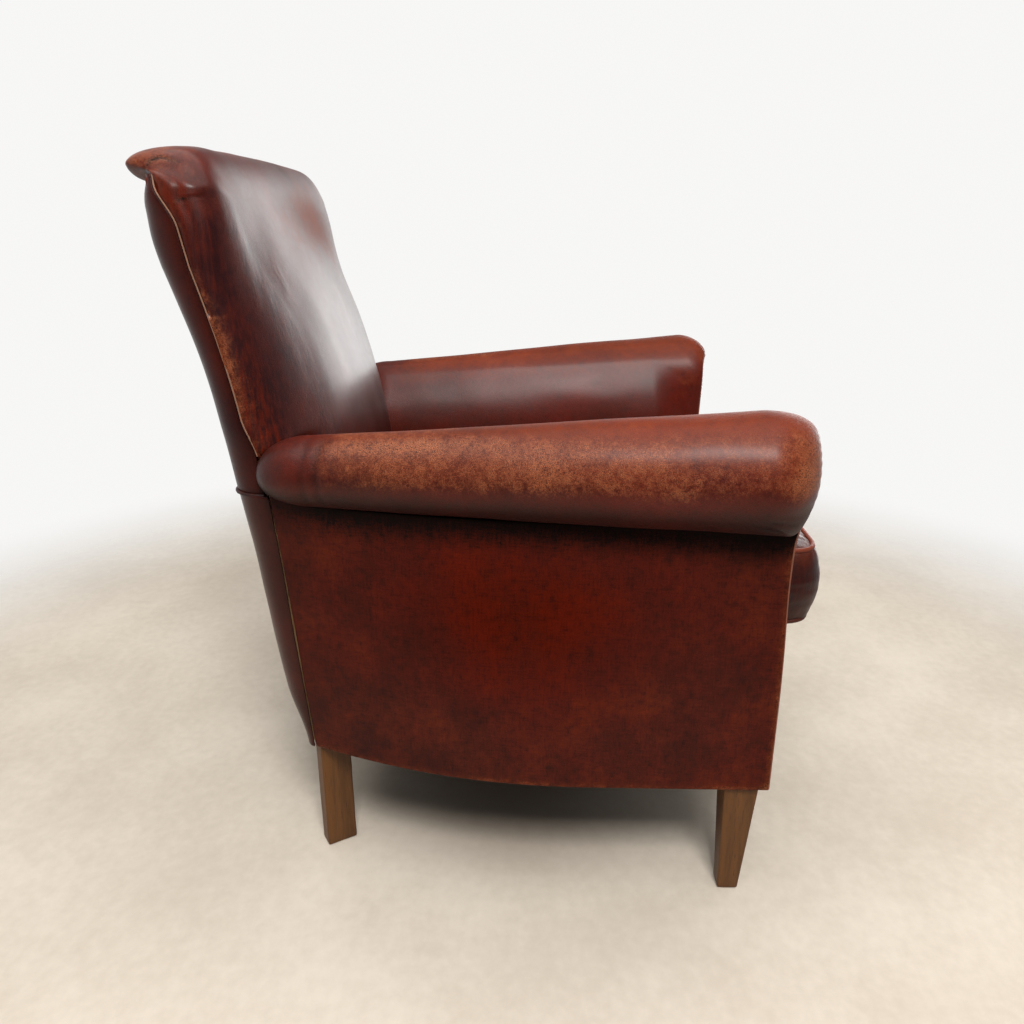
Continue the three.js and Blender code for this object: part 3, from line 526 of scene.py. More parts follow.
roll = {
    "frontX": (facingBox[0].x + facingBox[1].x) / 2, "frontZ": facingBox[1].z - rollFront, "front": rollFront,
    "rearX": 0.262, "rearZ": 0.548, "rear": 0.033, "rearY": 0.2502, "bow": 0.35,
    "pad": 0.0055, "padOut": 0.002, "sag": (0.001, 0.008),
}


def outsideBackY(z):
    straight = np.where(z < lines["bendZ"], lines["lowerRake"], lines["upperRake"]) * (z - lines["bendZ"])
    dip = lines["hollow"] * np.sin(np.pi * share(z, lines["bendZ"], lines["bendZ"] + lines["hollowTall"]))
    return lines["bendY"] + straight - dip


def rise(z):  # 0 at the bottom edge, 1 at the bend of the back
    return share(z, lines["bottom"], lines["bendZ"])


def seamY(z):
    return outsideBackY(z) - lerp(lines["seamLow"], lines["seamHigh"], rise(z))


def sideX(y, z):  # the tub narrows towards the back
    along = np.maximum(0, (y - lines["tubFrom"]) / (lines["tubEnd"] - lines["tubFrom"]))
    return lines["panelX"] - lines["tubInset"] * along**2 * lerp(1, lines["tubFlare"], rise(z))


def weltSet(z):  # how far the back welt lies in front of the outside back
    nearTop, nearFoot = smooth(z, 0.80, 0.845), 1 - smooth(z, 0.555, 0.60)
    return lines["weltSet"] - lines["weltTop"] * nearTop + lines["weltFoot"] * nearFoot


def insideBackY(z):
    return lines["crestY"] - lines["backThick"] - (lines["lipZ"] - z) * lines["insideRake"]


def backHalfAt(z):
    return lerp(lines["backHalf"], lines["backHalfTop"], share(z, lines["shoulderZ"], lines["crestZ"]))


def paddedRoll(y):  # the frame's roll with its padding swollen and sagging a little
    t = (y - lines["facingY"]) / (roll["rearY"] - lines["facingY"])
    bow = roll["bow"] * t * t + (1 - roll["bow"]) * t
    x = lerp(roll["frontX"], roll["rearX"], bow) + roll["padOut"]
    z = lerp(roll["frontZ"], roll["rearZ"], t) - lerp(*roll["sag"], t)
    return x, z, lerp(roll["front"], roll["rear"], t) + roll["pad"]


def innerArmX(y):
    x, z, radius = paddedRoll(np.maximum(y, lines["facingY"]))
    return x - radius


def facingFrontY(z, x, side):  # the roll's end stands in front of the stump below it
    ahead = arm["ahead"][side] * smooth(z, 0.47, 0.55) * smooth(x, 0.250, 0.300)
    innerEdge = (1 - smooth(x, 0.250, 0.280)) * smooth(z, 0.29, 0.33)
    return lines["facingY"] - ahead + facing["setBack"] * (innerEdge + bell(z, 0.43, 0.08))


def rollBottom(y):  # where the roll's underside meets the panel, up over the rounded rear end
    x, z, radius = paddedRoll(np.minimum(y, arm["domeFrom"]))
    past = np.minimum(share(y, arm["domeFrom"], arm["domeEnd"]), 0.99)
    shrink = arm["tailShrink"] * (1 - np.sqrt(1 - past**2))
    return z - arm["tailDown"] * shrink - radius * (1 - shrink)


def rollPoint(y, degrees, inset=0.0):  # a point on the roll's skin
    x, z, radius = paddedRoll(y)
    radius *= 1 - inset * 0.3
    return x + radius * math.cos(math.radians(degrees)), y, z + radius * math.sin(math.radians(degrees))


# Arms: a padded roll, rounded at both ends, and the inside arm below it. Angles are in degrees.
arm = {
    "along": 190, "around": 190, "frontShare": 0.15, "rearShare": 0.11, "arcShare": 0.56,
    "startFront": -86, "startBehind": -115, "leaves": 150,
    "underDeep": 0.016, "stumpRound": 0.020, "innerPad": 0.029,
    "cap": {"left": 0.038, "right": 0.047}, "ahead": {"left": 0.006, "right": 0.0125},
    "domeFrom": 0.214, "domeEnd": 0.277, "tailShrink": 0.94, "tailIn": 0.006, "tailDown": 0.008,
    "insideBottom": 0.300, "foldY": 0.190, "hide": 0.002,
}
facing = {
    "x": 0.2822, "half": 0.0312, "topZ": 0.592, "underZ": 0.4965, "across": 48, "up": 150, "roundShare": 0.1,
    "turn": 0.028, "turnShare": 0.3, "setBack": 0.0035, "pillow": 0.0012, "ease": 0.0012, "hide": 0.0025,
    "piping": 0.0015, "pipingIn": 0.0008,
}


def facingEdge(angle, drop, z):  # the point of the front panel's edge that each line of the arm runs to
    centreZ = facing["topZ"] - facing["half"]
    turned = np.clip(angle, 0, math.pi)
    x = facing["x"] + facing["half"] * np.cos(turned)
    edgeZ = centreZ + facing["half"] * np.sin(turned)
    below = share(angle, 0, math.radians(arm["startFront"]))
    edgeZ = np.where(angle < 0, lerp(centreZ, facing["underZ"], below), edgeZ)
    return x, np.where(drop > 0, np.minimum(z, centreZ), edgeZ)


def armCover(side, sign):
    def place(u, v):
        drop = share(v, arm["arcShare"], 1)
        arc = share(v, 0, arm["arcShare"])
        cap = share(u, arm["frontShare"], 0) * quarter
        tail = share(u, 1 - arm["rearShare"], 1) * quarter
        body = share(u, arm["frontShare"], 1 - arm["rearShare"])
        start = np.radians(lerp(arm["startFront"], arm["startBehind"], smooth(body, 0, 0.25)))
        finish = lerp(math.pi, math.radians(arm["leaves"]), smooth(body, 0, 0.12))
        angle = lerp(start, finish, arc)
        depth = lerp(arm["underDeep"], arm["cap"][side], smooth(angle, math.radians(-80), math.radians(-25)))
        depth = lerp(depth, arm["stumpRound"], smooth(angle + drop, math.radians(120), math.pi))
        y = lerp(lines["facingY"] + depth, arm["domeFrom"], body)
        x, z, radius = paddedRoll(y)
        skinX = x + radius * np.cos(angle)
        skinZ = lerp(z + radius * np.sin(angle), arm["insideBottom"], drop)
        skinX = skinX - radius * (1 + np.cos(finish)) * smooth(drop, 0, 0.7)
        skinX = skinX - arm["innerPad"] * np.sin(math.pi * np.clip(drop * 1.6, 0, 1)) * smooth(body, 0, 0.12)
        edgeX, edgeZ = facingEdge(angle, drop, skinZ)
        inset = 1 - np.cos(cap)
        skinX, skinZ = lerp(skinX, edgeX, inset), lerp(skinZ, edgeZ, inset)
        tip = facingFrontY(skinZ, skinX, side)
        y = np.where(cap > 0, lerp(lines["facingY"] + depth, tip, np.sin(cap)), y)
        shrink = (1 - np.cos(tail)) * (1 - smooth(drop, 0, 0.3)) * arm["tailShrink"]
        skinX, skinZ = lerp(skinX, x - arm["tailIn"], shrink), lerp(skinZ, z - arm["tailDown"], shrink)
        y = np.where(tail > 0, lerp(arm["domeFrom"], arm["domeEnd"], np.sin(tail)), y)
        place.angle, place.drop, place.cap = angle, drop, cap
        return skinX, y, skinZ

    obj = grid("arm_cover_" + side + "_leather", arm["along"], arm["around"], place)[0]
    faceAway(obj, 0.285, 0, 0.545)
    at = points(obj)
    slack = softNoise(at, (0.07, 0.11, 0.07), 3) * 0.0012 + softNoise(at, (0.03, 0.06, 0.03), 5) * 0.0005
    degrees = np.degrees(place.angle)
    gathers = np.sin(place.angle * 26) * bell(place.cap, 1.35, 0.3) * 0.0003 * (place.drop == 0)
    push(obj, (slack + gathers) * (1 - smooth(place.cap, 1.3, 1.57)))
    folds = np.zeros(len(at))
    turns = range(-55, 76, 13)
    for lean, width, depth in ((0.0, 0.0045, 0.0009), (0.016, 0.004, 0.0004)):  # pulled near the back end
        middle = arm["foldY"] + lean
        route = [rollPoint(middle + 0.010 * math.cos(math.radians(turn)), turn) for turn in turns]
        folds += crease(obj, route, width, depth)
    tucks = [[rollPoint(-0.300, -62, 0.4), rollPoint(-0.285, -50), rollPoint(-0.262, -44)],
             [rollPoint(-0.306, -48, 0.35), rollPoint(-0.292, -38), rollPoint(-0.272, -34)]]
    for route in tucks:
        folds += crease(obj, route, 0.0025, 0.0009)
    onRoll = 1 - smooth(place.drop, 0, 0.12)
    rearFade = 1 - 0.8 * smooth(at[:, 1], 0.165, 0.215)
    wear = onRoll * smooth(degrees, -22, 20) * (1 - 0.55 * smooth(degrees, 118, 165)) * rearFade * 0.62
    wear -= 0.40 * bell(at[:, 1], -0.215, 0.035) * bell(degrees, 2, 20)
    frontEnd = bell(at[:, 1], -0.312, 0.026) * bell(degrees, 5, 28)
    band = smooth(degrees, -24, 0) * (1 - smooth(degrees, 40, 75))
    upper = smooth(at[:, 1], -0.06, 0.06) * smooth(degrees, 30, 60) * (1 - smooth(degrees, 95, 125))
    speck = onRoll * rearFade * (0.52 * band * lerp(0.75, 1, smooth(at[:, 1], -0.3, 0.0)) + 0.40 * upper)
    speck += 0.45 * onRoll * frontEnd
    wear += 0.6 * onRoll * frontEnd
    under = 1 - smooth(degrees, -45, -12)
    shade = 0.25 * under + 0.35 * folds + 0.35 * smooth(at[:, 1], 0.235, 0.272)
    warm = 0.5 * onRoll * (1 - under) + 0.35 * (1 - onRoll) - 0.1 * under
    dull = onRoll * (0.9 * under + 0.8 * smooth(degrees, 45, 75) * (1 - smooth(degrees, 125, 150)))
    paint(obj, wear=np.clip(wear, 0, 1), speck=np.clip(speck, 0, 1), shade=np.clip(shade, 0, 0.9),
          warm=warm, dull=dull)
    modify(obj, "SOLIDIFY", thickness=arm["hide"], offset=-1)
    toSide(obj, sign)
    finishPiece(obj, finishes["arm"], "leather", "arm_cover_" + side, "arm_pad_" + side)


def armFront(side, sign):
    centreZ = facing["topZ"] - facing["half"]

    def place(u, v):
        over = share(v, 1 - facing["roundShare"], 1) * quarter
        straight = lerp(lines["bottom"], centreZ, v / (1 - facing["roundShare"]))
        z = np.where(over > 0, centreZ + facing["half"] * np.sin(over) * 0.999, straight)
        half = facing["half"] * np.where(over > 0, np.maximum(np.cos(over), 0.02), 1)
        across = 2 * share(u, facing["turnShare"], 1) - 1
        turned = share(u, facing["turnShare"], 0)  # the inner edge is carried back round the stump
        x = facing["x"] + half * across + facing["ease"] * np.sin(turned * quarter)
        pillow = facing["pillow"] * (1 - across**4) * (1 - smooth(over, 0.9, 1.57))
        return x, facingFrontY(z, x, side) - pillow + facing["ease"] + facing["turn"] * turned, z

    obj, u, v = grid("arm_front_" + side + "_leather", facing["across"], facing["up"], place)
    faceAway(obj, 0.29, 0, 0.4)
    at = points(obj)
    push(obj, softNoise(at, 0.05, 11) * 0.0008)
    edge = np.abs(2 * share(u, facing["turnShare"], 1) - 1)
    z = at[:, 2]
    wear = 0.30 * smooth(edge, 0.7, 1) + 0.35 * smooth(z, 0.5, 0.58) + 0.2 * (1 - smooth(z, 0.16, 0.2))
    paint(obj, wear=wear, shade=0.12 * (1 - smooth(z, 0.16, 0.36)), warm=0.1)
    thicken(obj, facing["hide"])
    toSide(obj, sign)
    finishPiece(obj, finishes["arm"], "leather", "arm_front_" + side)

    upright = np.linspace(lines["bottom"] + 0.001, centreZ, 40)
    bends = np.linspace(0.15, math.pi - 0.15, 20)
    middle, half = facing["x"], facing["half"]
    route = [(middle - half, z) for z in upright]
    route += [(middle - half * math.cos(angle), centreZ + half * math.sin(angle)) for angle in bends]
    route += [(middle + half, z) for z in upright[::-1]]
    route = [(sign * x, float(facingFrontY(z, x, side)) + facing["pipingIn"], z) for x, z in route]
    pipe("arm_front_" + side + "_piping", route, facing["piping"], wear=0.65, pale=0.25)


# Arm stumps: the upright boards behind the facings, cut to stay inside the padded roll
stump = {"half": 0.024, "topZ": 0.570, "front": 0.012, "edge": 0.0015}


def armStump(side, sign):
    low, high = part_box("arm_stump_" + side)
    obj = block("arm_stump_" + side + "_wood")
    front = lines["facingY"] + stump["front"]
    at = points(obj) * (2 * stump["half"], high.y - front, stump["topZ"] - low.z)
    setPoints(obj, at + (sign * facing["x"], 0.5 * (front + high.y), 0.5 * (low.z + stump["topZ"])))
    soften(obj, stump["edge"], 2, 60)
    finishPiece(obj, finishes["frame_wood"], "frame_wood", "arm_stump_" + side)


# Outside arms: taut panels that follow the tub's plan
outside = {
    "along": 150, "up": 90, "hide": 0.0025, "edge": 0.0012, "belly": 0.0025, "tuck": 0.004,
    "frontX": 0.312, "frontGap": 0.0008, "rearGap": 0.0008, "flat": (0.575, 0.345),
}


def outsideArm(side, sign):
    def place(u, v):
        y = lerp(lines["facingY"], seamY(0.33), u)  # a first guess, closed in on twice
        for _ in range(2):
            z = lerp(lines["bottom"], rollBottom(y) + outside["tuck"], v)
            front = facingFrontY(z, outside["frontX"], side) + outside["frontGap"]
            y = lerp(front, seamY(z) - outside["rearGap"], u)
        x = sideX(y, z) + outside["belly"] * np.sin(math.pi * u) * np.sin(math.pi * v)
        return x, y, z

    obj, u, v = grid("outside_arm_" + side + "_leather", outside["along"], outside["up"], place)
    faceAway(obj, 0, 0, 0.35)
    at = points(obj)
    push(obj, softNoise(at, (0.2, 0.16, 0.10), 21) * 0.0014 + softNoise(at, (0.06, 0.09, 0.03), 23) * 0.0003)
    middle = bell(at[:, 1], -0.02, 0.16) * bell(at[:, 2], 0.385, 0.10)
    rim = np.maximum(1 - smooth(u, 0, 0.02), 1 - smooth(v, 0, 0.03))
    lowCorner = bell(u, 0, 0.018) * bell(v, 0, 0.03)
    # painted sheen: away from its middle the panel is painted lighter, on top of the real wear at its rim and
    # low corner
    wear = 0.34 * rim + 0.24 * (1 - middle) + 1.3 * lowCorner
    shade = 0.10 * smooth(u, 0.72, 1.0) + 0.06 * (1 - smooth(v, 0.0, 0.30))
    shade = shade + 0.12 * (1 - smooth(u, 0.0, 0.16))
    shade = shade + 0.85 * smooth(v, 0.86, 1) * (1 - 0.6 * smooth(u, 0.85, 1))
    speck = 0.4 * rim + lowCorner
    # painted sheen, the other way round: the middle, where no sheen falls, is painted warmer and more
    # saturated
    paint(obj, wear=np.clip(wear, 0, 1), speck=np.clip(speck, 0, 1), shade=np.clip(shade, 0, 1),
          warm=0.35 * middle + 0.25, dull=1.6 * middle)
    thicken(obj, outside["hide"], outside["edge"])
    toSide(obj, sign)
    finishPiece(obj, finishes["panel"], "leather", "outside_arm_" + side)


sides = (("left", 1), ("right", -1))
for side, sign in sides:
    armCover(side, sign)
    armFront(side, sign)
    armStump(side, sign)
    outsideArm(side, sign)
print("arms made")

# Outside back: two panels round the back's corners, joined by a piped seam
rear = {
    "across": 190, "up": 110, "flatShare": 0.72, "hide": 0.0025, "topZ": 0.8520,
    "upperCorner": 0.034, "lowerCorner": (0.032, 0.044),
    "weltGap": 0.0028, "seamGap": 0.0005, "seamLift": 0.0003,
    "swell": 0.005, "neck": 0.003, "footIn": 0.011, "crestIn": 0.009, "cornerIn": 0.007,
    "upperFlat": (0.590, 0.358), "lowerFlat": (0.575, 0.360),
    "seam": 0.0022, "welt": 0.00095, "weltFrom": 0.557, "weltTo": 0.8515,
}


def roundBack(aside, half, across, along, z):  # padded above, pulled in below and under the crest
    bend = share(np.abs(aside), rear["flatShare"], 1) * quarter
    flat = np.minimum(np.abs(aside) / rear["flatShare"], 1)
    full = rear["swell"] * bell(z, 0.755, 0.075) - rear["footIn"] * (1 - smooth(z, 0.165, 0.245))
    full = full - rear["crestIn"] * smooth(z, 0.820, 0.852) + rear["neck"] * bell(z, 0.79, 0.03)
    y = along * (np.cos(bend) - 1) + full * np.cos(bend) + outsideBackY(z)
    return np.sign(aside) * (flat * (half - across) + across * np.sin(bend)), y


def weltHalf(z):  # the top corners draw in under the crest
    return backHalfAt(z) - rear["cornerIn"] * smooth(z, 0.832, 0.852)


def upperBack(u, v):
    z = lerp(lines["bendZ"] + rear["seamLift"], rear["topZ"], v)
    x, y = roundBack(2 * u - 1, weltHalf(z), rear["upperCorner"], weltSet(z) - rear["weltGap"], z)
    return x, y, z


def lowerBack(u, v):
    z = lerp(lines["bottom"], lines["bendZ"], v)
    half = sideX(seamY(z), z)
    along = lerp(lines["seamLow"], lines["seamHigh"], rise(z)) - rear["seamGap"]
    x, y = roundBack(2 * u - 1, half, lerp(*rear["lowerCorner"], rise(z)), along, z)
    return x, y, z


def outsideBack(name, place, flat):
    obj, u, v = grid(name + "_leather", rear["across"], rear["up"], place)
    faceAway(obj, 0, 0, 0.5)
    at = points(obj)
    push(obj, softNoise(at, (0.16, 0.2, 0.13), 31) * 0.0016 + softNoise(at, (0.05, 0.1, 0.04), 33) * 0.0004)
    rim = np.maximum(smooth(np.abs(2 * u - 1), 0.97, 1), 1 - smooth(v, 0, 0.03))
    corner = bell(np.abs(2 * u - 1), 0.84, 0.07)
    shade = 0.28 - 0.18 * bell(at[:, 0], 0, 0.17) * bell(v, 0.55, 0.3) + 0.2 * rim
    paint(obj, wear=0.22 * corner + 0.1 * rim, shade=shade, warm=0.05 + 0.15 * corner)
    thicken(obj, rear["hide"])
    finishPiece(obj, finishes["back"], "leather", name)


outsideBack("outside_back_upper", upperBack, rear["upperFlat"])
outsideBack("outside_back_lower", lowerBack, rear["lowerFlat"])
route = np.column_stack(upperBack(np.linspace(0.0, 1.0, 120), np.zeros(120)))
pipe("outside_back_seam_piping", route + (0, 0.0004, -0.0006), rear["seam"], wear=0.35, shade=0.35)
heights = np.linspace(rear["weltFrom"], rear["weltTo"], 70)
for side, sign in sides:
    weltY = outsideBackY(heights) - weltSet(heights) + 0.0008
    route = np.column_stack([sign * (weltHalf(heights) + 0.0006), weltY, heights])
    pipe("back_welt_" + side + "_piping", route, rear["welt"], "back_welt_" + side, wear=0.35, pale=0.5)
print("outside back made")

# Inside back: one hide over the pad, round its edges to the welts and over the crest
back = {
    "across": 222, "up": 205, "sideShare": 0.70, "frontShare": 0.74, "bottomZ": 0.312, "topZ": 0.834,
    "edge": 0.112, "edgeTop": 0.050, "edgeDeep": 0.92, "edgeDeepTop": 0.62, "sideLean": 0.1, "squeeze": 0.05,
    "bendEnd": 0.75, "tuckFrom": 0.93, "tuckIn": 0.006, "tuckBack": 0.014, "crown": 0.028, "boxBelly": 0.003,
    "crestFront": 0.051, "crestDrop": 0.015, "crestReach": 0.055, "crestBend": 0.42, "lean": 0.30,
    "lipFrom": 0.76, "lipDrop": 0.021, "lipBack": 0.026, "arch": 0.004, "easedTo": 0.42, "hide": 0.002,
}


def insideBack():
    def place(u, v):
        across = 2 * u - 1
        part = np.minimum(np.abs(across) / back["sideShare"], 1)
        pastSide = share(np.abs(across), back["sideShare"], 1)
        pastTop = share(v, back["frontShare"], 1)
        past = np.maximum(pastSide, pastTop)
        ratio = np.minimum(pastSide, pastTop) / np.maximum(past, 1e-9)
        theta = np.where(pastSide >= pastTop, quarter / 2 * ratio, quarter - quarter / 2 * ratio)
        top = smooth(theta, math.radians(8), math.radians(62))
        frontZ = lerp(back["bottomZ"], back["topZ"], np.minimum(v / back["frontShare"], 1))
        frontY = insideBackY(frontZ)
        box = outsideBackY(frontZ) - weltSet(frontZ) - frontY
        toTop = smooth(frontZ, 0.660, back["topZ"])
        edge = lerp(back["edge"], back["edgeTop"], toTop)
        bend = share(past, 0, back["bendEnd"]) * quarter
        straight = share(past, back["bendEnd"], back["tuckFrom"])
        tuck = share(past, back["tuckFrom"], 1) * quarter
        sideOut = edge * np.sin(bend) + back["boxBelly"] * toTop * np.sin(math.pi * straight)
        sideOut = sideOut - back["tuckIn"] * np.sin(tuck)
        deepest = lerp(back["edgeDeep"], back["edgeDeepTop"], toTop) * box
        turned = 1 - np.cos(bend) + back["sideLean"] * np.sin(bend) * (1 - np.sin(bend))
        sideBack = deepest * turned + (box - deepest) * straight
        full = back["crown"] * np.sin(math.pi * share(frontZ, 0.36, 0.88))
        wide = backHalfAt(frontZ)
        aside = np.minimum(((wide - edge) * part + edge * np.sin(bend)) / wide, 1)
        rounded = (box + full) * (1 - (1 - aside**2.3) ** 0.55) - full  # one long curve from welt to welt
        sideBack = lerp(rounded, sideBack, toTop) + back["tuckBack"] * (1 - np.cos(tuck))
        front = share(past, 0, back["crestBend"]) * quarter
        over = share(past, back["crestBend"], back["lipFrom"]) * quarter
        under = share(past, back["lipFrom"], 1) * quarter
        undercut = smooth(theta, math.radians(16), math.radians(48))  # the lip closes at the crest's ends
        dip = back["crestDrop"] * (1 - np.cos(over)) + back["lipDrop"] * np.sin(under)
        crestOut = back["crestFront"] * np.sin(front) - dip * undercut
        rolled = 1 - np.cos(front) + back["lean"] * np.sin(front) * (1 - np.sin(front))
        crestBack = back["crestFront"] * rolled + back["crestReach"] * np.sin(over)
        crestBack = crestBack - back["lipBack"] * (1 - np.cos(under))
        out, deep = lerp(sideOut, crestOut, top), lerp(sideBack, crestBack, top)
        y = frontY + deep
        shoulder = 0.572 - 0.45 * (y - 0.22)
        low = np.maximum(innerArmX(np.minimum(y, roll["rearY"])) + 0.0015, lines["backHalfLow"])
        x = (wide - edge) * part + out * np.cos(theta)
        inner = low - back["squeeze"]  # below the arms only the sides are squeezed
        spare = np.maximum(wide - low, 0) + back["squeeze"]
        tight = np.where(x > inner, inner + (x - inner) * back["squeeze"] / spare, x)
        x = np.sign(across) * lerp(tight, x, smooth(frontZ, shoulder - 0.012, shoulder + 0.012))
        arch = back["arch"] * (x / lines["backHalf"]) ** 2 * smooth(frontZ, 0.7, back["topZ"])
        z = frontZ + out * np.sin(theta) - arch
        y = y - toTop * full * (1 - part**2) * (1 - smooth(pastTop, 0, 0.5))
        place.past, place.top, place.deep, place.box = past, top, deep, box
        return x, y, z

    obj = grid("inside_back_leather", back["across"], back["up"], place)[0]
    faceAway(obj, 0, 0.33, 0.6)
    eased = obj.vertex_groups.new(name="middle")
    eased.add([int(i) for i in np.where(place.past < back["easedTo"])[0]], 1.0, "REPLACE")
    modify(obj, "SMOOTH", factor=0.5, iterations=16, vertex_group="middle")
    obj.vertex_groups.clear()
    at = points(obj)
    onFront = 1 - smooth(place.past, 0, 0.3)
    slack = softNoise(at, (0.13, 0.13, 0.17), 41) * 0.0019 * onFront
    slack = slack + softNoise(at, (0.04, 0.04, 0.08), 43) * 0.0009
    nearEdge = bell(place.past, 0.12, 0.2) * (1 - place.top) * smooth(place.past, 0.001, 0.06)
    slack = slack + softNoise(at, (0.010, 0.010, 0.07), 47) * 0.0003 * nearEdge
    push(obj, slack)
    folds = np.zeros(len(at))
    pleat = [(0.2569, 0.344, 0.8205), (0.2550, 0.329, 0.8280), (0.2480, 0.310, 0.8308)]
    corner = [(0.2213, 0.378, 0.849), (0.2380, 0.3702, 0.8574), (0.2372, 0.3647, 0.8652),
              (0.2357, 0.3558, 0.8689), (0.2388, 0.3361, 0.8643)]
    for _, sign in sides:
        for route, width, depth in ((pleat, 0.0014, 0.0006), (corner, 0.0018, 0.0012)):
            folds += crease(obj, [(sign * x, y, z) for x, y, z in route], width, depth)
    cracks = [[(-0.150, 0.2738, 0.7691), (-0.157, 0.2708, 0.7543), (-0.150, 0.2646, 0.7348),
               (-0.147, 0.2589, 0.7151)],
              [(-0.150, 0.2646, 0.7348), (-0.158, 0.2620, 0.7200), (-0.151, 0.2570, 0.7060)],
              [(-0.147, 0.2589, 0.7151), (-0.135, 0.2548, 0.7053)]]
    for route in cracks:
        folds += 0.3 * crease(obj, route, 0.0018, 0.0004)
    boxing = smooth(place.past, 0.3, 0.6) * (1 - place.top)
    crest = smooth(place.past, 0.15, 0.5) * place.top
    toWelt = bell(place.deep, place.box, 0.013) * boxing
    scuffed = toWelt * bell(at[:, 2], 0.70, 0.06)
    # the crest is painted lighter through its wear, speck and warm terms: rub at the crest, with painted
    # sheen on the beak
    wear = 0.15 * toWelt + 0.2 * scuffed + 0.20 * boxing * (1 - smooth(at[:, 2], 0.56, 0.70)) + 0.45 * crest
    # painted highlight, partly rub: the top of the boxing is painted lighter
    wear += 0.2 * boxing * smooth(at[:, 2], 0.79, 0.83)
    lowBoxing = boxing * (1 - smooth(at[:, 2], 0.60, 0.74))
    speck = 0.2 * toWelt + 0.3 * scuffed + 0.16 * lowBoxing + 0.45 * crest + 0.3 * smooth(folds, 0.02, 0.3)
    dull = bell(at[:, 0], 0.07, 0.14) * bell(at[:, 2], 0.805, 0.055) * (1 - smooth(place.past, 0.1, 0.5))
    wear += 0.8 * dull
    shade = 0.85 * folds + 0.30 * (1 - smooth(at[:, 2], 0.40, 0.54)) * onFront
    shade = shade + 0.5 * (1 - smooth(at[:, 2], 0.32, 0.47))
    # painted sheen, partly rub: the crest is painted warmer
    warm = -0.3 * onFront - 0.3 * boxing + 0.8 * lowBoxing + 0.45 * crest
    # painted highlight, partly rub: the top of the boxing is painted warmer
    warm += 0.6 * boxing * smooth(at[:, 2], 0.78, 0.83) - 0.5 * bell(place.past, 0.46, 0.2) * (1 - place.top)
    wrinkle = 0.35 * nearEdge + 0.12 * onFront + 0.45 * boxing + 0.5 * lowBoxing
    paint(obj, wear=np.clip(wear, 0, 1), speck=np.clip(speck, 0, 1), shade=np.clip(shade, 0, 0.95), warm=warm,
          wrinkle=wrinkle, dull=np.clip(dull + 0.45 * boxing, 0, 1))
    modify(obj, "SOLIDIFY", thickness=back["hide"], offset=-1)
    finishPiece(obj, finishes["back"], "leather", "inside_back_cover", "back_pad")


insideBack()
print("inside back made")

# Seat cushion: boxed, blown up by cloth pressure with its two seams held, then piped
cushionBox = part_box("cushion_cover")
seat = {
    "front": cushionBox[0].y + 0.010, "rear": cushionBox[1].y - 0.012, "low": cushionBox[0].z + 0.012,
    "high": cushionBox[0].z + 0.1085, "half": 0.217, "corner": 0.026, "middleY": -0.11, "armGap": 0.0015,
    "voxel": 0.006, "pressure": 12.0, "stiff": 5.0, "frames": 20, "cap": 0.024, "sag": 0.004,
    "bulge": 0.011, "coreHalf": 0.19, "coreY": (-0.33, 0.10), "piping": 0.0030,
}


def seatOutline(count):  # the seam's plan: a rectangle with round corners
    corners = [(1, seat["front"]), (1, seat["rear"]), (-1, seat["rear"]), (-1, seat["front"])]
    route = []
    for i, (sign, y) in enumerate(corners):
        inward = 1 if y < 0 else -1
        middle = np.array([sign * (seat["half"] - seat["corner"]), y + inward * seat["corner"]])
        first = (-90, 0, 90, 180)[i]
        for angle in np.radians(np.linspace(first, first + 90, 10)):
            route.append(middle + seat["corner"] * np.array([math.cos(angle), math.sin(angle)]))
    route = np.array(route + route[:1])
    run = np.concatenate([[0], np.cumsum(np.linalg.norm(np.diff(route, axis=0), axis=1))])
    at = np.linspace(0, run[-1], count, endpoint=False)
    return np.column_stack([np.interp(at, run, route[:, k]) for k in (0, 1)])


def seatForm():
    outline = seatOutline(120)
    deselect()
    bpy.ops.mesh.primitive_circle_add(vertices=len(outline), radius=1, fill_type="NGON")
    obj = added("seat_cushion_leather")
    order = np.argsort(np.arctan2(outline[:, 1], outline[:, 0]))
    start = points(obj)
    ranks = np.argsort(np.argsort(np.arctan2(start[:, 1], start[:, 0])))
    setPoints(obj, np.column_stack([outline[order][ranks], np.full(len(outline), seat["low"])]))
    bpy.ops.object.mode_set(mode="EDIT")
    bpy.ops.mesh.select_all(action="SELECT")
    bpy.ops.mesh.extrude_region_move(TRANSFORM_OT_translate={"value": (0, 0, seat["high"] - seat["low"])})
    bpy.ops.mesh.select_all(action="SELECT")
    bpy.ops.mesh.normals_make_consistent(inside=False)
    bpy.ops.object.mode_set(mode="OBJECT")
    modify(obj, "REMESH", mode="VOXEL", voxel_size=seat["voxel"])
    return obj


def toOutline(at):  # distance in plan from each point to the seam
    line = seatOutline(400)
    return np.min([np.hypot(at[:, 0] - x, at[:, 1] - y) for x, y in line], axis=0)


def blowUp(obj, seam):  # cloth pressure, with the seam's points held
    held = obj.vertex_groups.new(name="seams")
    held.add([int(i) for i in seam], 1.0, "REPLACE")
    fill = obj.modifiers.new("fill", "CLOTH")
    cloth = fill.settings
    cloth.use_pressure = True
    cloth.uniform_pressure_force = seat["pressure"]
    cloth.effector_weights.gravity = 0
    cloth.vertex_group_mass = "seams"
    cloth.quality = 5
    cloth.tension_stiffness = cloth.compression_stiffness = seat["stiff"]
    cloth.shear_stiffness, cloth.bending_stiffness = seat["stiff"] / 3, 0.1
    for number in range(1, seat["frames"] + 1):
        bpy.context.scene.frame_set(number)
    pick(obj)
    bpy.ops.object.modifier_apply(modifier=fill.name)
    bpy.context.scene.frame_set(1)
    obj.vertex_groups.clear()


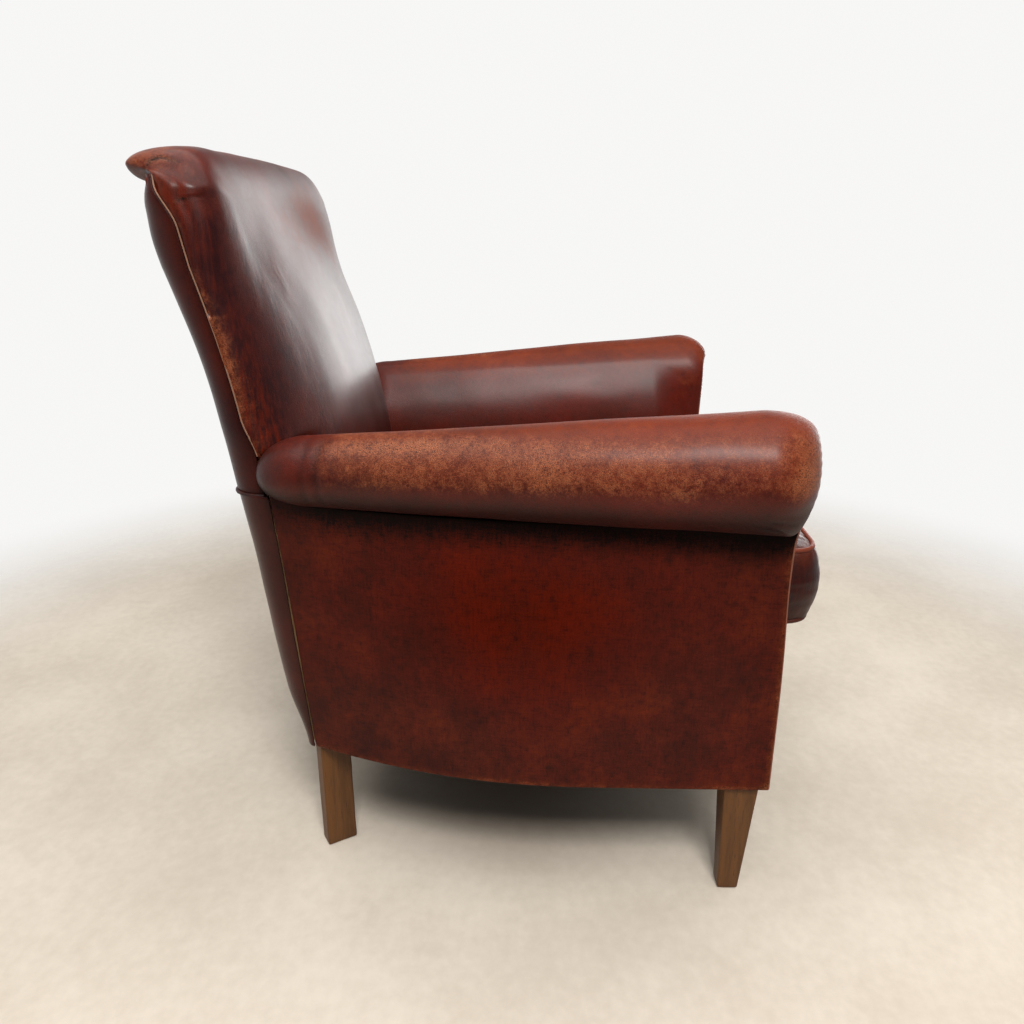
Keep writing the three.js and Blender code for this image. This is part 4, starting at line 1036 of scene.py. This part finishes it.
def seatCushion():
    obj = seatForm()
    rest = points(obj)
    edge = toOutline(rest)
    level = np.minimum(np.abs(rest[:, 2] - seat["low"]), np.abs(rest[:, 2] - seat["high"]))
    seam = np.where((edge < seat["voxel"] * 1.3) & (level < seat["voxel"] * 1.1))[0]
    blowUp(obj, seam)
    moved = points(obj) - rest
    length = np.linalg.norm(moved, axis=1)
    print("cushion swelled by up to", round(float(length.max()), 4))
    moved *= (np.minimum(length, seat["cap"]) / np.maximum(length, 1e-9))[:, None]
    at = rest + moved
    wall = np.sin(math.pi * share(rest[:, 2], seat["low"], seat["high"])) * (edge < 0.009)
    coreX = np.clip(rest[:, 0], -seat["coreHalf"], seat["coreHalf"])
    away = rest[:, :2] - np.column_stack([coreX, np.clip(rest[:, 1], *seat["coreY"])])
    away /= np.maximum(np.linalg.norm(away, axis=1), 1e-6)[:, None]
    at[:, :2] += away * (seat["bulge"] * wall)[:, None]
    inside = innerArmX(at[:, 1]) - seat["armGap"]
    limit = np.where(at[:, 1] > lines["facingY"] - 0.004, inside, 1)
    at[:, 0] = np.clip(at[:, 0], -limit, limit)
    at[:, 2] = np.maximum(at[:, 2], cushionBox[0].z + 0.0008)
    high = smooth(at[:, 2], seat["high"] - 0.01, seat["high"] + 0.004)
    at[:, 2] -= seat["sag"] * high * bell(at[:, 0], 0, 0.13) * bell(at[:, 1], -0.08, 0.15)
    setPoints(obj, at)
    modify(obj, "SUBSURF", levels=1, render_levels=1)
    at = points(obj)
    edge = toOutline(at)
    height = np.minimum(np.abs(at[:, 2] - seat["low"]), np.abs(at[:, 2] - seat["high"]))
    fromSeam = np.hypot(edge, height)
    around = np.arctan2(at[:, 1] - seat["middleY"], at[:, 0])
    flat = np.zeros(len(at))
    pucker = softNoise(np.column_stack([around * 0.25, flat, flat]), 0.004, 53) * bell(fromSeam, 0.012, 0.016)
    boxed = bell(at[:, 2], 0.5 * (seat["low"] + seat["high"]), 0.035) * (1 - smooth(edge, 0.02, 0.04))
    wrinkles = softNoise(at, (0.05, 0.05, 0.006), 57) * boxed * 0.0009
    slack = pucker * 0.0013 + wrinkles + softNoise(at, (0.10, 0.10, 0.06), 59) * 0.0016
    push(obj, slack + softNoise(at, 0.035, 61) * 0.0006)
    at = points(obj)
    onTop = smooth(at[:, 2], seat["high"], seat["high"] + 0.012)
    wear = 0.45 * bell(fromSeam, 0.0, 0.022)
    wear = wear + 0.34 * onTop * bell(at[:, 0], 0, 0.17) * bell(at[:, 1], -0.12, 0.22)
    shade = 0.22 + 0.35 * (1 - smooth(at[:, 2], seat["low"], seat["low"] + 0.02))
    shade = shade + 0.4 * smooth(at[:, 1], 0.10, 0.16) - 0.12 * onTop
    paint(obj, wear=np.clip(wear, 0, 1), shade=np.clip(shade, 0, 0.9), warm=-0.55 + 0.25 * onTop,
          wrinkle=0.30 * boxed + 0.10)
    return finishPiece(obj, finishes["cushion"], "leather", "cushion_cover", "cushion_core")


skin = points(seatCushion())
line = seatOutline(260)
outward = line - (0, seat["middleY"])
cords = {  # height, lift and shade
    "top": (seat["high"] + 0.0015, 0.0010, 0.1),
    "bottom": (seat["low"] - 0.0003, -0.0010, 0.65),
}
for name, (z, lift, shade) in cords.items():
    seam = np.column_stack([line, np.full(len(line), z)])
    near = skin[np.abs(skin[:, 2] - z) < 0.02]
    route = np.array([near[np.argmin(((near - at) ** 2).sum(1))] for at in seam])  # on the swollen cushion
    for _ in range(6):
        route = 0.5 * route + 0.25 * (np.roll(route, 1, axis=0) + np.roll(route, -1, axis=0))
    route[:, :2] += 0.0012 * outward / np.linalg.norm(outward, axis=1)[:, None]
    route[:, 2] += lift + softNoise(route, 0.02, 71) * 0.0006
    piped = "cushion_piping_" + name
    cord = pipe(piped + "_leather", route, seat["piping"], piped, closed=True, shade=shade)
    paint(cord, wear=0.5 + 0.35 * bell(points(cord)[:, 1], seat["front"], 0.05))
print("seat cushion made")

# Front border under the cushion, the deck it rests on, and the cloth below
borderBox, deckBox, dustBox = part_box("front_border"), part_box("seat_deck"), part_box("dust_cover")
border = {
    "across": 160, "up": 72, "half": 0.2508, "face": borderBox[0].y, "top": borderBox[1].z, "tall": 0.185,
    "end": 0.0165, "endShare": 0.08, "foot": dustBox[0].y - borderBox[0].y + 0.0015, "footShare": 0.08,
    "noseFrom": 0.78, "flapFrom": 0.90, "nose": 0.012, "back": 0.026, "belly": 0.003, "hide": 0.0025,
}
deck = {"across": 90, "along": 90, "gap": 0.002, "dip": 0.004, "thick": 0.002}
dust = {
    "across": 170, "along": 160, "inset": 0.005, "cornerLess": 0.004, "sag": 0.004, "thick": 0.0008,
    "legGap": 0.002, "flat": (0.62, 0.585), "area": 0.32,
}


def frontBorder():
    def place(u, v):
        under = share(v, border["footShare"], 0)  # the lower edge turns in under the rail
        climb = share(v, border["footShare"], border["noseFrom"])
        bend = share(v, border["noseFrom"], border["flapFrom"]) * quarter
        flap = share(v, border["flapFrom"], 1)
        z = lerp(lines["bottom"], border["top"] - border["nose"], climb) + border["nose"] * np.sin(bend)
        y = border["face"] + border["nose"] * (1 - np.cos(bend)) + (border["back"] - border["nose"]) * flap
        y = y - border["belly"] * np.sin(math.pi * climb) * np.sin(math.pi * u)
        across = 2 * u - 1
        past = share(np.abs(across), 1 - border["endShare"], 1)  # the ends turn back
        turned = np.maximum(border["end"] * past * (1 - bend / 2), border["foot"] * under)
        return border["half"] * np.clip(across / (1 - border["endShare"]), -1, 1), y + turned, z

    obj, u, v = grid("front_border_leather", border["across"], border["up"], place)
    faceAway(obj, 0, 0, 0.22)
    push(obj, softNoise(points(obj), (0.08, 0.1, 0.05), 81) * 0.0011)
    wear = 0.35 * bell(v, border["footShare"], 0.04) + 0.25 * bell(v, 0.84, 0.08)
    paint(obj, wear=wear, shade=0.15 + 0.35 * smooth(v, 0.6, 0.8), warm=0.1)
    thicken(obj, border["hide"])
    finishPiece(obj, finishes["panel"], "leather", "front_border", "front_edge_pad")


def seatDeck():
    low, high = deckBox

    def place(u, v):
        y = lerp(low.y, high.y, v)
        half = np.minimum(innerArmX(y) - deck["gap"], high.x)
        dip = deck["dip"] * np.sin(math.pi * u) * np.sin(math.pi * v)
        return lerp(-half, half, u), y, high.z - dip

    obj = grid("seat_deck_cloth", deck["across"], deck["along"], place)[0]
    faceAway(obj, 0, 0, 0)
    push(obj, softNoise(points(obj), 0.06, 91) * 0.0007)
    thicken(obj, deck["thick"])
    finishPiece(obj, finishes["black_cloth"], "black_cloth", "seat_deck")


def dustCover():
    frontY, rearY, middleZ = dustBox[0].y, dustBox[1].y, 0.5 * (dustBox[0].z + dustBox[1].z)

    def place(u, v):
        y = lerp(frontY, rearY, v)
        corner, along = rear["lowerCorner"][0] - dust["cornerLess"], lines["seamLow"]
        past = np.minimum(share(y, rearY - along, rearY), 0.999)
        half = sideX(np.minimum(y, rearY - along), lines["bottom"]) - dust["inset"]
        half = half - corner * (1 - np.sqrt(1 - past**2))
        sag = dust["sag"] * np.sin(math.pi * u) * np.sin(math.pi * v)
        return lerp(-half, half, u), y, middleZ - sag

    obj = grid("dust_cover_cloth", dust["across"], dust["along"], place)[0]
    x, y = points(obj)[:, :2].T
    bare = np.zeros(len(x), bool)  # cut out round the legs
    for name in ("front_leg_left", "front_leg_right", "back_leg_left", "back_leg_right"):
        low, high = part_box(name)
        alongX = (x > low.x - dust["legGap"]) & (x < high.x + dust["legGap"])
        bare |= alongX & (y > low.y - dust["legGap"]) & (y < high.y + dust["legGap"])
    pick(obj)
    bpy.ops.object.mode_set(mode="EDIT")
    bpy.ops.mesh.select_mode(type="VERT")
    bpy.ops.mesh.select_all(action="DESELECT")
    bpy.ops.object.mode_set(mode="OBJECT")
    obj.data.vertices.foreach_set("select", bare)
    bpy.ops.object.mode_set(mode="EDIT")
    bpy.ops.mesh.delete(type="VERT")
    bpy.ops.object.mode_set(mode="OBJECT")
    faceAway(obj, 0, 0, 0.5)
    push(obj, softNoise(points(obj), (0.09, 0.05, 0.05), 97) * 0.001)
    modify(obj, "SOLIDIFY", thickness=dust["thick"], offset=0)
    finishPiece(obj, finishes["black_cloth"], "black_cloth", "dust_cover")


frontBorder()
seatDeck()
dustCover()
print("border, deck and dust cover made")

# Legs: tapered in front, slim and turned at the back, with softened edges
legs = {
    "chamfer": 0.0022, "bottomZ": 0.0007, "toe": 0.0252, "toeBack": 0.003,
    "backWide": 0.024, "backLong": 0.040, "turn": 32,
}


def leg(name, sign, front):
    low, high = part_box(name)
    low.z = legs["bottomZ"]
    tall = high.z - low.z
    obj = block(name + "_wood")
    at = points(obj)
    foot = at[:, 2] < 0
    if front:
        wide = np.where(foot, legs["toe"], high.x - low.x)
        at = at * np.column_stack([wide, wide, np.full(len(at), tall)])
        at[foot, 1] += legs["toeBack"]
    else:
        at = at * (legs["backWide"], legs["backLong"], tall)
        angle = math.radians(-sign * legs["turn"])
        cos, sin = math.cos(angle), math.sin(angle)
        at[:, :2] = at[:, :2] @ np.array([[cos, sin], [-sin, cos]])
    setPoints(obj, at + np.array(0.5 * (low + high)))
    bpy.ops.object.mode_set(mode="EDIT")
    bpy.ops.mesh.select_all(action="SELECT")
    bpy.ops.mesh.subdivide(number_cuts=9)
    bpy.ops.object.mode_set(mode="OBJECT")
    soften(obj, legs["chamfer"], 3, 60)
    push(obj, softNoise(points(obj), (0.012, 0.012, 0.03), 103) * 0.00025)
    finishPiece(obj, finishes["leg"], "leg_wood", name)


for side, sign in sides:
    leg("front_leg_" + side, sign, True)
    leg("back_leg_" + side, sign, False)
print("legs made")

# What stays of the frame: the wood, springs, straps and felt inside and below
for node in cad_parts.values():
    if node.hide_render:
        continue
    for holder in node.material_slots:
        plain = holder.material.name.split(".")[0]
        holder.material = finishes.get(plain, finishes["frame_wood"])
print("inner pieces finished")

low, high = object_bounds()
